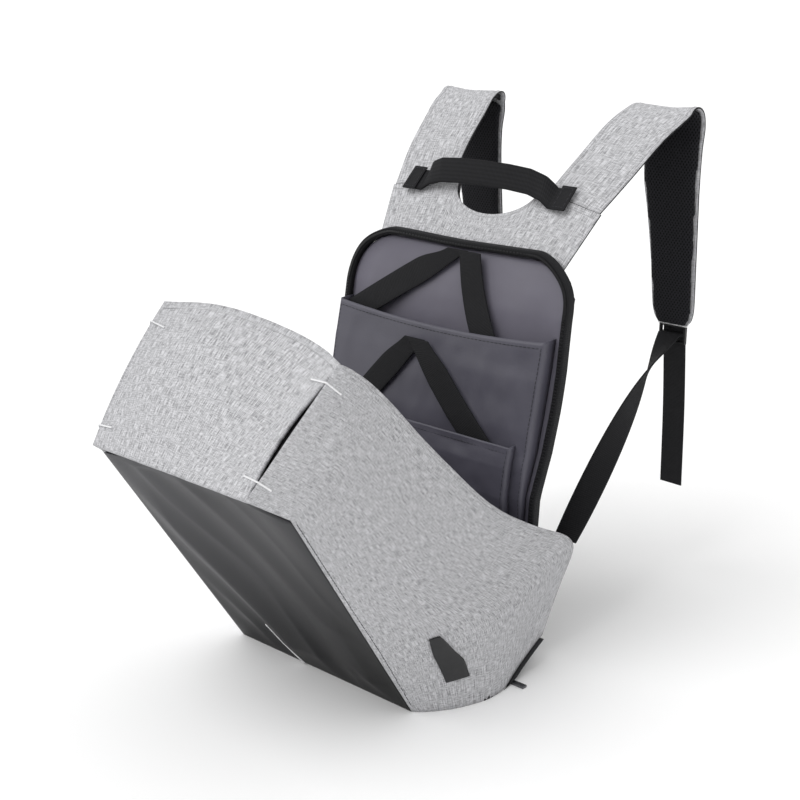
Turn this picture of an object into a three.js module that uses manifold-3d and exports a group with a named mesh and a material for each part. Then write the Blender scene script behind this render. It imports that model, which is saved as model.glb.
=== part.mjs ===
// A hard-wearing backpack with a wide clamshell opening, standing open on its flat base.
// Millimetres. +X is the wearer's right, +Y runs from the bag's front towards the wearer, +Z is up.
// The outer shell leans forward and the padded back, with its pockets and straps, stands upright.
import * as THREE from 'three';
import { mergeVertices } from 'three/addons/utils/BufferGeometryUtils.js';
import Module from 'manifold-3d';

// Walls, webbing and clearances
const clothWall = 3.5;
const liningWall = 1.2;
const webbingWall = 1.6;
const webbingWidth = 27;
const seamGap = 0.32;

// The shell: widths, how far it leans, and how high its parts reach
const baseCentre = 55;
const halfFront = 117;
const halfBack = 150;
const halfCap = 124;
const shellDepth = 212;
const frontLean = 157;
const frontRise = 247;
const rimHeight = 380;
const sideBulge = 7;
const frontSag = 7;

// The cap over the front panel, and the slit between it and the side
const capReach = 27;
const capLift = 18;
const capTuck = 24;
const capCrown = 7;
const slitOpen = 8;
const leftSlitOpen = 3;
const tuckUnder = 21;
const tuckNarrow = 29;
const cornerPinch = 0.2;
const cornerBack = 22;
const cornerLift = 13;

// The back: a lined board with a mesh pad behind it and a zip band round it
const halfBand = 146;
const bandWall = 8;
const bandProud = 6;
const bandBottom = 122;
const backTop = 404;
const backBottom = 36;
const backCorner = 58;
const boardWall = 4;
const padWall = 8;
const padInset = 3;
const padRound = 8;

// Pockets on the lining
const pocketTop = 327;
const pocketBottom = 118;
const pocketDepth = 20;
const pocketSide = 11.3;
const pocketHalf = halfBand - pocketSide;
const pocketShift = -2.7;
const pocketSag = 7;
const smallTop = 226;
const smallBottom = 132;
const smallHalf = 118;
const smallDepth = 10;
const pocketWall = 1.6;

// Across places of the webbing that holds what stands in the pockets
const holdTop = 7;
const holdLeft = -125;
const holdRight = 62;
const holdDrop = 22;
const apexDrop = 29;
const frontApex = -21;
const frontLeft = -104;
const frontRight = 92;

// Shoulder straps and yoke. The straps climb from the yoke, fold over and hang down to their tips.
const halfYoke = 120;
const yokeFlare = 14;
const yokeRise = 44;
const yokeReach = 40;
const neckHalf = 52;
const neckDip = 27;
const strapOut = 97;
const strapWidth = 76;
const strapCover = 1.6;
const strapPad = 5;
const strapReach = 145;
const strapClimb = 86;
const strapSplay = 36;
const strapLean = 0.16;
const leftSway = 12;

// Grab handle and its tabs
const handleEnd = 6;
const handleShift = -9;
const handleHeight = 26;
const handleWall = 3;
const handleLift = 18;
const tabWidth = 17;
const tabHeight = 30;

// Webbing under the straps, and the adjusters that hold it
const tailLength = 190;
const adjusterWidth = 32;
const adjusterHeight = 20;
const adjusterWall = 4;
const adjusterBar = 4.5;

// Small trim
const tackWidth = 2.4;
const trimWall = 1;
const stripWidth = 3;
const pullLength = 17;
const pullWidth = 6;
const pullWall = 2;

const colours = {
  melange: '#b9b9bb',
  coated: '#3b3b3e',
  webbing: '#222225',
  mesh: '#141416',
  lining: '#5f5c69',
  pocket: '#4b4955',
  trim: '#e4e4e6',
  metal: '#a8a9ad',
};

const solids = await Module();
solids.setup();

const group = new THREE.Group();
const bag = new THREE.Group();
bag.position.y = -baseCentre;
group.add(bag);

function vec(x, y, z) {
  return new THREE.Vector3(x, y, z);
}

function mix(a, b, share) {
  return a.clone().lerp(b, share);
}

// Reads a straight-sided curve through points at a share from 0 to 1
function along(points, share) {
  const place = Math.min(Math.max(share, 0), 1) * (points.length - 1);
  const index = Math.min(Math.floor(place), points.length - 2);
  return mix(points[index], points[index + 1], place - index);
}

// Reads a table of values by its first column
function lookUp(table, key, column, at) {
  const last = table.length - 1;
  let row = 0;
  while (row < last - 1 && table[row + 1][key] < at) row += 1;
  const low = table[row];
  const high = table[row + 1];
  const share = Math.min(Math.max((at - low[key]) / (high[key] - low[key]), 0), 1);
  return low[column] + (high[column] - low[column]) * share;
}

// A surface that fills four edges: near and far run with u, left and right run with v
function fill(near, far, left, right) {
  return (u, v) => {
    const ruled = mix(near(u), far(u), v).add(mix(left(v), right(v), u));
    const corners = mix(mix(near(0), near(1), u), mix(far(0), far(1), u), v);
    return ruled.sub(corners);
  };
}

// Samples a surface into rows of points
function gridOf(surface, columns, rows) {
  const grid = [];
  for (let row = 0; row <= rows; row += 1) {
    const line = [];
    for (let column = 0; column <= columns; column += 1) {
      line.push(surface(column / columns, row / rows));
    }
    grid.push(line);
  }
  return grid;
}

function eachCell(grid, visit) {
  for (let row = 0; row + 1 < grid.length; row += 1) {
    for (let column = 0; column + 1 < grid[0].length; column += 1) {
      visit(grid[row][column], grid[row][column + 1], grid[row + 1][column + 1], grid[row + 1][column]);
    }
  }
}

function cellNormal(a, b, c, d) {
  return c.clone().sub(a).cross(d.clone().sub(b));
}

// Turns a grid so that it faces away from a point inside the bag
function facingFrom(grid, inside) {
  let outward = 0;
  eachCell(grid, (a, b, c, d) => {
    outward += cellNormal(a, b, c, d).dot(a.clone().sub(inside));
  });
  return outward > 0 ? grid : grid.map((line) => [...line].reverse());
}

function placeKey(point) {
  return [point.x, point.y, point.z].map((value) => Math.round(value * 50)).join(' ');
}

// One normal for each point, shared by the panels that meet there, so that walls meet on a mitre
function sharedNormals(grids) {
  const sums = new Map();
  for (const grid of grids) {
    eachCell(grid, (a, b, c, d) => {
      const normal = cellNormal(a, b, c, d).normalize();
      for (const point of [a, b, c, d]) {
        const key = placeKey(point);
        sums.set(key, (sums.get(key) ?? vec(0, 0, 0)).add(normal));
      }
    });
  }
  return (point) => sums.get(placeKey(point)).clone().normalize();
}

// Moves the edge points of a grid inwards along the surface by a distance
function drawnIn(grid, distance) {
  const rows = grid.length - 1;
  const columns = grid[0].length - 1;
  return grid.map((line, row) => line.map((point, column) => {
    const moved = point.clone();
    const steps = [];
    if (row === 0) steps.push(grid[1][column]);
    if (row === rows) steps.push(grid[rows - 1][column]);
    if (column === 0) steps.push(grid[row][1]);
    if (column === columns) steps.push(grid[row][columns - 1]);
    for (const inner of steps) {
      moved.add(inner.clone().sub(point).setLength(distance));
    }
    return moved;
  }));
}

// A closed solid between two grids of the same size
function solidBetween(outer, inner) {
  const rows = outer.length;
  const columns = outer[0].length;
  const points = [...outer.flat(), ...inner.flat()];
  const layer = rows * columns;
  const at = (row, column, side) => side * layer + row * columns + column;
  const faces = [];
  const quad = (a, b, c, d) => faces.push([a, b, c], [a, c, d]);
  for (let row = 0; row + 1 < rows; row += 1) {
    for (let column = 0; column + 1 < columns; column += 1) {
      quad(at(row, column, 0), at(row, column + 1, 0), at(row + 1, column + 1, 0), at(row + 1, column, 0));
      quad(at(row, column, 1), at(row + 1, column, 1), at(row + 1, column + 1, 1), at(row, column + 1, 1));
    }
  }
  for (let column = 0; column + 1 < columns; column += 1) {
    quad(at(0, column, 0), at(0, column, 1), at(0, column + 1, 1), at(0, column + 1, 0));
    const end = rows - 1;
    quad(at(end, column, 0), at(end, column + 1, 0), at(end, column + 1, 1), at(end, column, 1));
  }
  for (let row = 0; row + 1 < rows; row += 1) {
    quad(at(row, 0, 0), at(row + 1, 0, 0), at(row + 1, 0, 1), at(row, 0, 1));
    const end = columns - 1;
    quad(at(row, end, 0), at(row, end, 1), at(row + 1, end, 1), at(row + 1, end, 0));
  }
  return closedGeometry(points, faces);
}

// Makes a geometry from points and triangles, with its faces turned outwards
function closedGeometry(points, faces) {
  let volume = 0;
  for (const [a, b, c] of faces) {
    volume += points[a].dot(points[b].clone().cross(points[c]));
  }
  const turned = volume > 0 ? faces : faces.map(([a, b, c]) => [a, c, b]);
  const geometry = new THREE.BufferGeometry();
  geometry.setAttribute('position', new THREE.Float32BufferAttribute(
    points.flatMap((point) => [point.x, point.y, point.z]), 3));
  geometry.setIndex(turned.flat());
  geometry.computeVertexNormals();
  return geometry;
}

function wallOn(grid, normalOf, wall) {
  return solidBetween(
    drawnIn(grid, seamGap / 2),
    drawnIn(grid.map((line) => line.map((point) => point.clone().addScaledVector(normalOf(point), -wall))),
      seamGap / 2));
}

// A plate that follows a surface between two depths below it
function plateOn(surface, columns, rows, topDepth, bottomDepth) {
  return solidBetween(
    gridOf((u, v) => surface(u, v, topDepth), columns, rows),
    gridOf((u, v) => surface(u, v, bottomDepth), columns, rows));
}

// A surface function that also takes a depth below the surface, against its normal
function withDepth(surface) {
  const step = 0.001;
  return (u, v, depth) => {
    const base = surface(u, v);
    const before = surface(u - step, v);
    const after = surface(u + step, v);
    const below = surface(u, v - step);
    const above = surface(u, v + step);
    const normal = after.sub(before).cross(above.sub(below)).normalize();
    return base.addScaledVector(normal, -depth);
  };
}

function toSolid(geometry) {
  const merged = mergeVertices(new THREE.BufferGeometry()
    .setAttribute('position', geometry.attributes.position).setIndex(geometry.index), 1e-4);
  return new solids.Manifold(new solids.Mesh({
    numProp: 3,
    vertProperties: new Float32Array(merged.attributes.position.array),
    triVerts: new Uint32Array(merged.index.array),
  }));
}

// Takes other solids away from a geometry and keeps the largest body that is left
function cutBy(geometry, cutters) {
  let body = toSolid(geometry);
  for (const cutter of cutters) body = body.subtract(toSolid(cutter));
  const bodies = body.decompose().sort((a, b) => b.volume() - a.volume());
  const mesh = bodies[0].getMesh();
  const cut = new THREE.BufferGeometry();
  cut.setAttribute('position', new THREE.Float32BufferAttribute(mesh.vertProperties, 3));
  cut.setIndex([...mesh.triVerts]);
  cut.computeVertexNormals();
  return cut;
}

// The room a wall takes up, with the clearance all round, to cut its neighbours with
function roomFor(grid, normalOf, wall) {
  const moved = (distance) => drawnIn(grid.map((line) => (
    line.map((point) => point.clone().addScaledVector(normalOf(point), distance)))), -seamGap);
  return solidBetween(moved(seamGap), moved(-wall - seamGap));
}

function mirrored(geometry) {
  const copy = geometry.clone().scale(-1, 1, 1);
  const index = [...copy.index.array];
  for (let corner = 0; corner < index.length; corner += 3) {
    [index[corner + 1], index[corner + 2]] = [index[corner + 2], index[corner + 1]];
  }
  copy.setIndex(index);
  copy.computeVertexNormals();
  return copy;
}

function addPart(name, geometry, colour, roughness, metalness = 0) {
  const material = new THREE.MeshStandardMaterial({ color: colour, roughness, metalness });
  const mesh = new THREE.Mesh(geometry, material);
  mesh.name = name;
  bag.add(mesh);
}

// Edges of the right side panel. flare is 0 at the front width and 1 at the back width, back is a
// share of the shell's depth and up a share of the rim's height.
const sideBottomRows = [
  { flare: 0, back: 0, up: 0 },
  { flare: 0.5, back: 0.066, up: 0 },
  { flare: 1.09, back: 0.222, up: 0 },
  { flare: 1.3, back: 0.387, up: 0 },
  { flare: 1.06, back: 0.514, up: 0.012 },
  { flare: 1, back: 0.623, up: 0.042 },
  { flare: 1, back: 0.76, up: 0.079 },
];
const sideRearRows = [
  { flare: 1, back: 0.76, up: 0.079 },
  { flare: 1, back: 0.906, up: 0.216 },
  { flare: 1, back: 0.986, up: 0.26 },
  { flare: 1, back: 1, up: 0.316 },
  { flare: 1, back: 0.783, up: 0.371 },
  { flare: 1, back: 0.538, up: 0.445 },
  { flare: 1, back: 0.387, up: 0.5 },
  { flare: 1, back: 0.245, up: 0.563 },
  { flare: 1, back: 0.066, up: 0.66 },
  { flare: 1, back: -0.085, up: 0.74 },
  { flare: 1, back: -0.203, up: 0.808 },
  { flare: 0.88, back: -0.33, up: 0.892 },
  { flare: 0.61, back: -0.448, up: 0.955 },
  { flare: 0.364, back: -0.49, up: 0.968 },
];
// Where each row of the side panel meets the front seam, and then the turn under the cap
const seamShares = [0, 0.16, 0.24, 0.34, 0.44, 0.54, 0.62, 0.7, 0.78, 0.86, 0.93, 1, 1, 1];
const turnShares = [0, 0, 0, 0, 0, 0, 0, 0, 0, 0, 0, 0, 0.5, 1];
// The rim over the cap, from the slit to the middle: out is a share of the back's half width
const capRimRows = [
  { out: 0.86, back: -0.49, up: 0.968 },
  { out: 0.76, back: -0.445, up: 0.97 },
  { out: 0.6, back: -0.405, up: 0.98 },
  { out: 0.3, back: -0.37, up: 0.993 },
  { out: 0, back: -0.354, up: 1 },
];

// The cap's left corner stands higher and further back, as soft cloth does
function settled(point) {
  if (point.x > 0) return point;
  const rise = (point.z - frontRise) / (rimHeight - frontRise);
  const share = Math.min(Math.max(rise, 0), 1);
  const out = Math.abs(point.x) / halfBack;
  const pushed = share * share;
  point.x *= 1 - cornerPinch * pushed;
  point.y += cornerBack * pushed * out;
  point.z += cornerLift * pushed * out;
  return point;
}

function shellPoint(row) {
  return vec(halfFront + (halfBack - halfFront) * row.flare, shellDepth * row.back, rimHeight * row.up);
}

const frontCorner = vec(halfFront, 0, 0);
const seamTop = vec(halfCap, -frontLean, frontRise);
const slitBottom = vec(halfCap - capTuck, -frontLean - capReach, frontRise + capLift);
const sideBottom = sideBottomRows.map(shellPoint);
const sideRear = sideRearRows.map(shellPoint);
const slitTop = sideRear[sideRear.length - 1];
const sideFront = seamShares.map((share, row) => (
  mix(mix(frontCorner, seamTop, share), slitBottom, turnShares[row])));
const flip = (point) => vec(-point.x, point.y, point.z);

// The two side panels
const inside = vec(0, 0, rimHeight * 0.4);
const sideColumns = 6;
const sideRowCount = sideRear.length - 1;

function sideSurface(u, v) {
  const point = fill(
    (share) => along(sideBottom, share),
    (share) => mix(slitBottom, slitTop, share),
    (share) => along(sideFront, share),
    (share) => along(sideRear, share))(u, v);
  point.x += sideBulge * Math.sin(Math.PI * u) * Math.sin(Math.PI * v);
  return point;
}

// The front panel hangs a little slack between its seams and carries on up behind the cap
const frontColumns = 10;

function frontSurface(u, v) {
  const right = mix(frontCorner, seamTop, v);
  const point = mix(flip(right), right, u);
  point.y += frontSag * Math.sin(Math.PI * u) * Math.sin(Math.PI * Math.min(v, 1));
  if (v > 1) point.x *= 1 - tuckNarrow / halfCap;
  return point;
}

function frontGrid() {
  const shares = seamShares.filter((share, row) => turnShares[row] === 0);
  const seamLength = seamTop.distanceTo(frontCorner);
  shares.push(1 + 1 / seamLength, 1 + tuckUnder / seamLength);
  return shares.map((share) => gridOf((u) => frontSurface(u, share), frontColumns, 1)[0]);
}

// The base lies on the ground and rises at the back
function baseSurface(u, v) {
  const right = along(sideBottom, v);
  return mix(flip(right), right, u);
}

// The cap runs from its front edge, which stands proud of the front panel, up to the rim
const capColumns = 12;
const capRows = 6;

function capSurface(u, v) {
  const across = 2 * u - 1;
  const rimRow = 1 - Math.abs(across);
  const rim = along(capRimRows.map((row) => vec(halfBack * row.out, shellDepth * row.back,
    rimHeight * row.up)), rimRow);
  const low = vec(slitBottom.x * Math.abs(across), slitBottom.y, slitBottom.z);
  const point = mix(low, rim, v);
  const away = vec(0, slitBottom.z - slitTop.z, slitTop.y - slitBottom.y).normalize();
  point.addScaledVector(away, capCrown * Math.cos(Math.PI * across / 2) * Math.sin(Math.PI * v));
  const open = across > 0 ? slitOpen : leftSlitOpen;
  point.x -= open * Math.sin(Math.PI * v) * Math.abs(across) ** 6;
  return across < 0 ? flip(point) : point;
}

function buildShell() {
  const side = facingFrom(gridOf(sideSurface, sideColumns, sideRowCount), inside);
  const otherSide = facingFrom(side.map((line) => line.map((point) => settled(flip(point)))), inside);
  const front = facingFrom(frontGrid(), inside);
  const base = facingFrom(gridOf(baseSurface, frontColumns, sideColumns), inside);
  const cap = facingFrom(gridOf((u, v) => settled(capSurface(u, v)), capColumns, capRows), inside);
  const normalOf = sharedNormals([side, otherSide, front, base, cap]);
  const wall = (grid) => wallOn(grid, normalOf, clothWall);
  const sideRooms = [side, otherSide].map((grid) => roomFor(grid, normalOf, clothWall));
  const capRoom = roomFor(cap, normalOf, clothWall);
  const frontRoom = roomFor(front, normalOf, clothWall);
  addPart('side_panel_right', wall(side), colours.melange, 0.9);
  addPart('side_panel_left', wall(otherSide), colours.melange, 0.9);
  addPart('front_panel', cutBy(wall(front), [...sideRooms, capRoom]), colours.coated, 0.45);
  addPart('base_panel', cutBy(wall(base), [...sideRooms, frontRoom]), colours.coated, 0.5);
  addPart('cap_panel', cutBy(wall(cap), sideRooms), colours.melange, 0.9);
}

// Profile of the wearer's face of the back: up is a share of the back's height, back a share of
// the shell's depth. The first rows are the pad's lower roll, which hooks under the bag.
const rollRows = [
  { up: 0.002, back: 0.557, wall: 0.6 },
  { up: 0, back: 0.623, wall: 1 },
  { up: 0.005, back: 0.698, wall: 1 },
  { up: 0.025, back: 0.769, wall: 1 },
  { up: 0.055, back: 0.804, wall: 1 },
];
const backRows = [
  { up: 0.055, back: 0.804 },
  { up: 0.09, back: 0.818 },
  { up: 0.149, back: 0.811 },
  { up: 0.248, back: 0.788 },
  { up: 0.347, back: 0.769 },
  { up: 0.436, back: 0.784 },
  { up: 0.542, back: 0.863 },
  { up: 0.644, back: 0.912 },
  { up: 0.738, back: 0.953 },
  { up: 0.854, back: 0.99 },
  { up: 1, back: 1.066 },
];

function backFace(z) {
  return shellDepth * lookUp(backRows, 'up', 'back', z / backTop);
}

function boardBack(z) {
  return backFace(z) - padWall - seamGap;
}

function liningBack(z) {
  return boardBack(z) - boardWall - seamGap;
}

function liningFront(z) {
  return liningBack(z) - liningWall;
}

// Half width of the back at a height, with rounded top corners, drawn in by a distance
function halfWidthAt(z, inset) {
  const centre = backTop - backCorner;
  const radius = backCorner - inset;
  if (z <= centre) return halfBand - inset;
  return halfBand - backCorner + Math.sqrt(Math.max(radius ** 2 - (z - centre) ** 2, 0));
}

// Heights of the rows of a plate on the back, closer together where the corner turns
function plateHeights(inset) {
  const heights = [backBottom];
  for (const row of backRows) {
    const z = row.up * backTop;
    if (z > backBottom + 4 && z < backTop - backCorner) heights.push(z);
  }
  const steps = 6;
  for (let step = 0; step <= steps; step += 1) {
    const angle = (Math.PI / 2) * (step / steps);
    heights.push(backTop - backCorner + (backCorner - inset) * Math.sin(angle));
  }
  return heights;
}

function plateGrid(depthAt, inset, columns) {
  return plateHeights(inset).map((z) => {
    const half = halfWidthAt(z, inset);
    const line = [];
    for (let column = 0; column <= columns; column += 1) {
      line.push(vec(half * (2 * column / columns - 1), depthAt(z), z));
    }
    return line;
  });
}

function buildBack() {
  const inset = bandWall + seamGap;
  const columns = 8;
  addPart('back_board', solidBetween(
    plateGrid(boardBack, inset, columns),
    plateGrid((z) => boardBack(z) - boardWall, inset, columns)), colours.lining, 0.8);
  addPart('back_lining', solidBetween(
    plateGrid(liningBack, inset, columns),
    plateGrid(liningFront, inset, columns)), colours.lining, 0.4);
  addPart('back_pad', buildPad(columns), colours.mesh, 0.9);
  addPart('zip_band', bandSolid(0, bandWall, 0), colours.webbing, 0.6);
}

// The mesh pad on the wearer's side, with its lower roll under the bag
function buildPad(columns) {
  const profile = rollRows.map((row) => ({
    z: row.up * backTop, y: row.back * shellDepth, wall: row.wall * padWall }));
  for (const z of plateHeights(padInset)) {
    profile.push({ z, y: backFace(z), wall: padWall });
  }
  const outer = [];
  const inner = [];
  profile.forEach((point, row) => {
    const before = profile[Math.max(row - 1, 0)];
    const after = profile[Math.min(row + 1, profile.length - 1)];
    const run = Math.hypot(after.y - before.y, after.z - before.z);
    const normal = [(after.z - before.z) / run, -(after.y - before.y) / run];
    const upright = row >= rollRows.length + 3;
    const reach = upright ? [point.wall, 0] : [normal[0] * point.wall, normal[1] * point.wall];
    const half = halfWidthAt(point.z, padInset);
    const outerLine = [];
    const innerLine = [];
    for (let column = 0; column <= columns; column += 1) {
      const share = 2 * column / columns - 1;
      outerLine.push(vec((half - padRound) * share, point.y, point.z));
      innerLine.push(vec(half * share, point.y - reach[0], point.z - reach[1]));
    }
    outer.push(outerLine);
    inner.push(innerLine);
  });
  return solidBetween(outer, inner);
}

// The outline of the zip band, up the right side, over the top and down the left
function bandOutline(inset) {
  const outline = [];
  const heights = [bandBottom, ...plateHeights(0).filter((z) => z > bandBottom && z < backTop - backCorner - 1)];
  for (const z of heights) outline.push(vec(halfBand - inset, 0, z));
  const steps = 7;
  for (let step = 0; step <= steps; step += 1) {
    const angle = (Math.PI / 2) * (step / steps);
    const radius = backCorner - inset;
    outline.push(vec(halfBand - backCorner + radius * Math.cos(angle), 0,
      backTop - backCorner + radius * Math.sin(angle)));
  }
  const topSteps = 4;
  const half = halfBand - backCorner;
  for (let step = 1; step < topSteps; step += 1) {
    outline.push(vec(half * (1 - 2 * step / topSteps), 0, backTop - inset));
  }
  const mirroredSide = outline.slice(0, heights.length + steps + 1).map(flip).reverse();
  return [...outline, ...mirroredSide];
}

function bandSolid(outer, inner, more) {
  const ring = (inset) => bandOutline(inset).map((point) => [
    vec(point.x, liningFront(point.z) - bandProud - more, point.z),
    vec(point.x, boardBack(point.z) - seamGap + more, point.z),
  ]);
  return solidBetween(ring(outer), ring(inner));
}

// Pocket profiles: up is a share of the height from bottom to top, depth a share of its depth
const pocketRows = [
  { up: 0, depth: 0.14 },
  { up: 0.12, depth: 0.32 },
  { up: 0.28, depth: 0.5 },
  { up: 0.42, depth: 0.85 },
  { up: 0.58, depth: 1 },
  { up: 0.82, depth: 1.05 },
  { up: 1, depth: 0.95 },
];
const smallRows = [
  { up: 0, depth: 0.3 },
  { up: 0.15, depth: 0.9 },
  { up: 0.4, depth: 1 },
  { up: 0.7, depth: 1 },
  { up: 1, depth: 1 },
];

function pocketFront(z) {
  const share = (z - pocketBottom) / (pocketTop - pocketBottom);
  return liningFront(z) - pocketDepth * lookUp(pocketRows, 'up', 'depth', share);
}

// A pocket is a wall that leaves its backing, turns at two corners and comes back to it
function pocketSolid(rows, half, shift, bottom, top, sag, backing, depthAt) {
  const shares = [-1, -1, -1, -0.5, 0, 0.5, 1, 1, 1];
  const proud = [0, 0.5, 1, 1, 1, 1, 1, 0.5, 0];
  const build = (inset) => rows.map((row) => shares.map((share, column) => {
    const height = bottom + (top - bottom) * row.up;
    const z = height - sag * row.up ** 4 * (1 - share ** 2);
    const base = backing(z) - 3 * seamGap;
    const depth = Math.max(depthAt(row), inset + 0.4) - inset;
    return vec(share * (half - inset) + shift, base - depth * proud[column], z);
  }));
  return solidBetween(build(0), build(pocketWall));
}

function buildPockets() {
  addPart('laptop_pocket', pocketSolid(pocketRows, pocketHalf, pocketShift, pocketBottom, pocketTop,
    pocketSag, liningFront, (row) => row.depth * pocketDepth), colours.pocket, 0.45);
  addPart('small_pocket', pocketSolid(smallRows, smallHalf, 0, smallBottom, smallTop,
    0, (z) => pocketFront(z) - 3 * seamGap, (row) => row.depth * smallDepth), colours.pocket, 0.45);
}

// A ribbon along a path: each station has a centre, a direction across and a half width
function ribbon(stations, wall, columns) {
  const sides = stations.map((station, row) => {
    const before = stations[Math.max(row - 1, 0)].centre;
    const after = stations[Math.min(row + 1, stations.length - 1)].centre;
    const forward = after.clone().sub(before).normalize();
    const across = station.across.clone().addScaledVector(forward, -station.across.dot(forward)).normalize();
    const normal = across.clone().cross(forward).normalize();
    const line = (depth) => {
      const points = [];
      for (let column = 0; column <= columns; column += 1) {
        const share = 2 * column / columns - 1;
        points.push(station.centre.clone().addScaledVector(across, share * station.half)
          .addScaledVector(normal, -depth));
      }
      return points;
    };
    return [line(0), line(wall)];
  });
  return solidBetween(sides.map((side) => side[0]), sides.map((side) => side[1]));
}

// Stations of a webbing along a smooth curve. It starts with its width along across and twists
// evenly by an angle on the way.
function twistedStations(points, count, across, twist) {
  const curve = new THREE.CatmullRomCurve3(points);
  const stations = [];
  for (let step = 0; step <= count; step += 1) {
    const share = step / count;
    stations.push({
      centre: curve.getPoint(share),
      across: across.clone().applyAxisAngle(curve.getTangent(share), twist * share),
      half: webbingWidth / 2,
    });
  }
  return stations;
}

// Straps: splay is a share of strapSplay, back of strapReach, up of strapClimb, wide of strapWidth
const strapRows = [
  { splay: 0, back: 0, up: 0, wide: 0.95 },
  { splay: 0.31, back: 0.248, up: 0.384, wide: 0.985 },
  { splay: 0.53, back: 0.503, up: 0.733, wide: 1.01 },
  { splay: 0.75, back: 0.66, up: 0.915, wide: 1.005 },
  { splay: 0.86, back: 0.77, up: 1, wide: 0.99 },
  { splay: 0.94, back: 0.84, up: 0.95, wide: 0.96 },
  { splay: 0.98, back: 0.866, up: 0.78, wide: 0.93 },
  { splay: 1, back: 0.855, up: 0.5, wide: 0.89 },
  { splay: 1, back: 0.865, up: 0.1, wide: 0.86 },
  { splay: 1, back: 0.905, up: -0.302, wide: 0.79 },
  { splay: 1, back: 0.952, up: -0.849, wide: 0.72 },
  { splay: 1, back: 0.99, up: -1.43, wide: 0.67 },
  { splay: 1, back: 1, up: -1.6, wide: 0.6 },
  { splay: 1, back: 1.003, up: -1.7, wide: 0.46 },
];
const strapStart = vec(strapOut, shellDepth + yokeReach + 10, backTop - 3 + yokeRise);
const acrossX = vec(1, 0, 0);

function strapCentre(row) {
  return vec(strapStart.x + strapSplay * row.splay, strapStart.y + strapReach * row.back,
    strapStart.z + strapClimb * row.up);
}

const strapCurve = new THREE.CatmullRomCurve3(strapRows.map(strapCentre));

// A layer of the strap, from one depth below its face to another. What hangs past the fold sways
// inwards by a distance.
function strapLayer(topDepth, bottomDepth, inset, sway) {
  const count = 26;
  const face = (depth) => {
    const grid = [];
    for (let step = 0; step <= count; step += 1) {
      const share = step / count;
      const forward = strapCurve.getTangent(share);
      const across = acrossX.clone().addScaledVector(forward, -forward.x).normalize();
      const centre = strapCurve.getPoint(share).addScaledVector(across.clone().cross(forward), -depth);
      const swayed = Math.min(Math.max((share - 0.1) / 0.4, 0), 1);
      centre.x -= sway * swayed ** 2 * (3 - 2 * swayed);
      const place = share * (strapRows.length - 1);
      const row = Math.min(Math.floor(place), strapRows.length - 2);
      const wide = strapRows[row].wide + (strapRows[row + 1].wide - strapRows[row].wide) * (place - row);
      const half = strapWidth * wide / 2 - inset;
      grid.push([-1, 0, 1].map((side) => centre.clone().addScaledVector(across, side * half)));
    }
    return grid;
  };
  return solidBetween(face(topDepth), face(bottomDepth));
}

// The yoke joins the straps over the top of the back. Its top edge follows the start of the straps,
// which lean outwards, and dips to the neckline between them.
function yokeTop(across) {
  const out = Math.abs(across) * (halfYoke + yokeFlare);
  const open = Math.min(out / neckHalf, 1);
  const lean = strapLean * (Math.max(out, neckHalf) - strapOut);
  const dip = neckDip * Math.sqrt(1 - open ** 2);
  const gap = 3 * seamGap;
  return vec(Math.sign(across) * out, strapStart.y - lean - dip * yokeReach / yokeRise - gap,
    strapStart.z - lean - dip - gap);
}

function yokeSurface(u, v) {
  const across = 2 * u - 1;
  const past = Math.max(halfYoke * Math.abs(across) - (halfBand - backCorner), 0);
  const height = backTop - backCorner + Math.sqrt(backCorner ** 2 - past ** 2);
  const low = vec(halfYoke * across, backFace(height) - clothWall, height + 1);
  return mix(low, yokeTop(across), v);
}

function buildStraps() {
  const yoke = withDepth(yokeSurface);
  addPart('yoke', plateOn(yoke, 20, 2, 0, strapCover), colours.melange, 0.9);
  addPart('yoke_pad', plateOn(yoke, 20, 2, strapCover + seamGap, strapCover + seamGap + strapPad),
    colours.mesh, 0.9);
  const padTop = strapCover + seamGap;
  const padBottom = padTop + strapPad;
  addPart('strap_cover_right', strapLayer(0, strapCover, 0, 0), colours.melange, 0.9);
  addPart('strap_pad_right', strapLayer(padTop, padBottom, 1, 0), colours.mesh, 0.9);
  addPart('strap_cover_left', mirrored(strapLayer(0, strapCover, 0, leftSway)), colours.melange, 0.9);
  addPart('strap_pad_left', mirrored(strapLayer(padTop, padBottom, 1, leftSway)), colours.mesh, 0.9);
}

// The grab handle lies on the straps at its ends and stands on edge above the yoke in its middle.
// out is a share of its half length, lift a share of handleLift and of its turn to upright.
const handleRows = [
  { out: 0, lift: 1 },
  { out: 0.3, lift: 0.97 },
  { out: 0.55, lift: 0.85 },
  { out: 0.7, lift: 0.55 },
  { out: 0.8, lift: 0 },
  { out: 1, lift: 0 },
];

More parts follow.
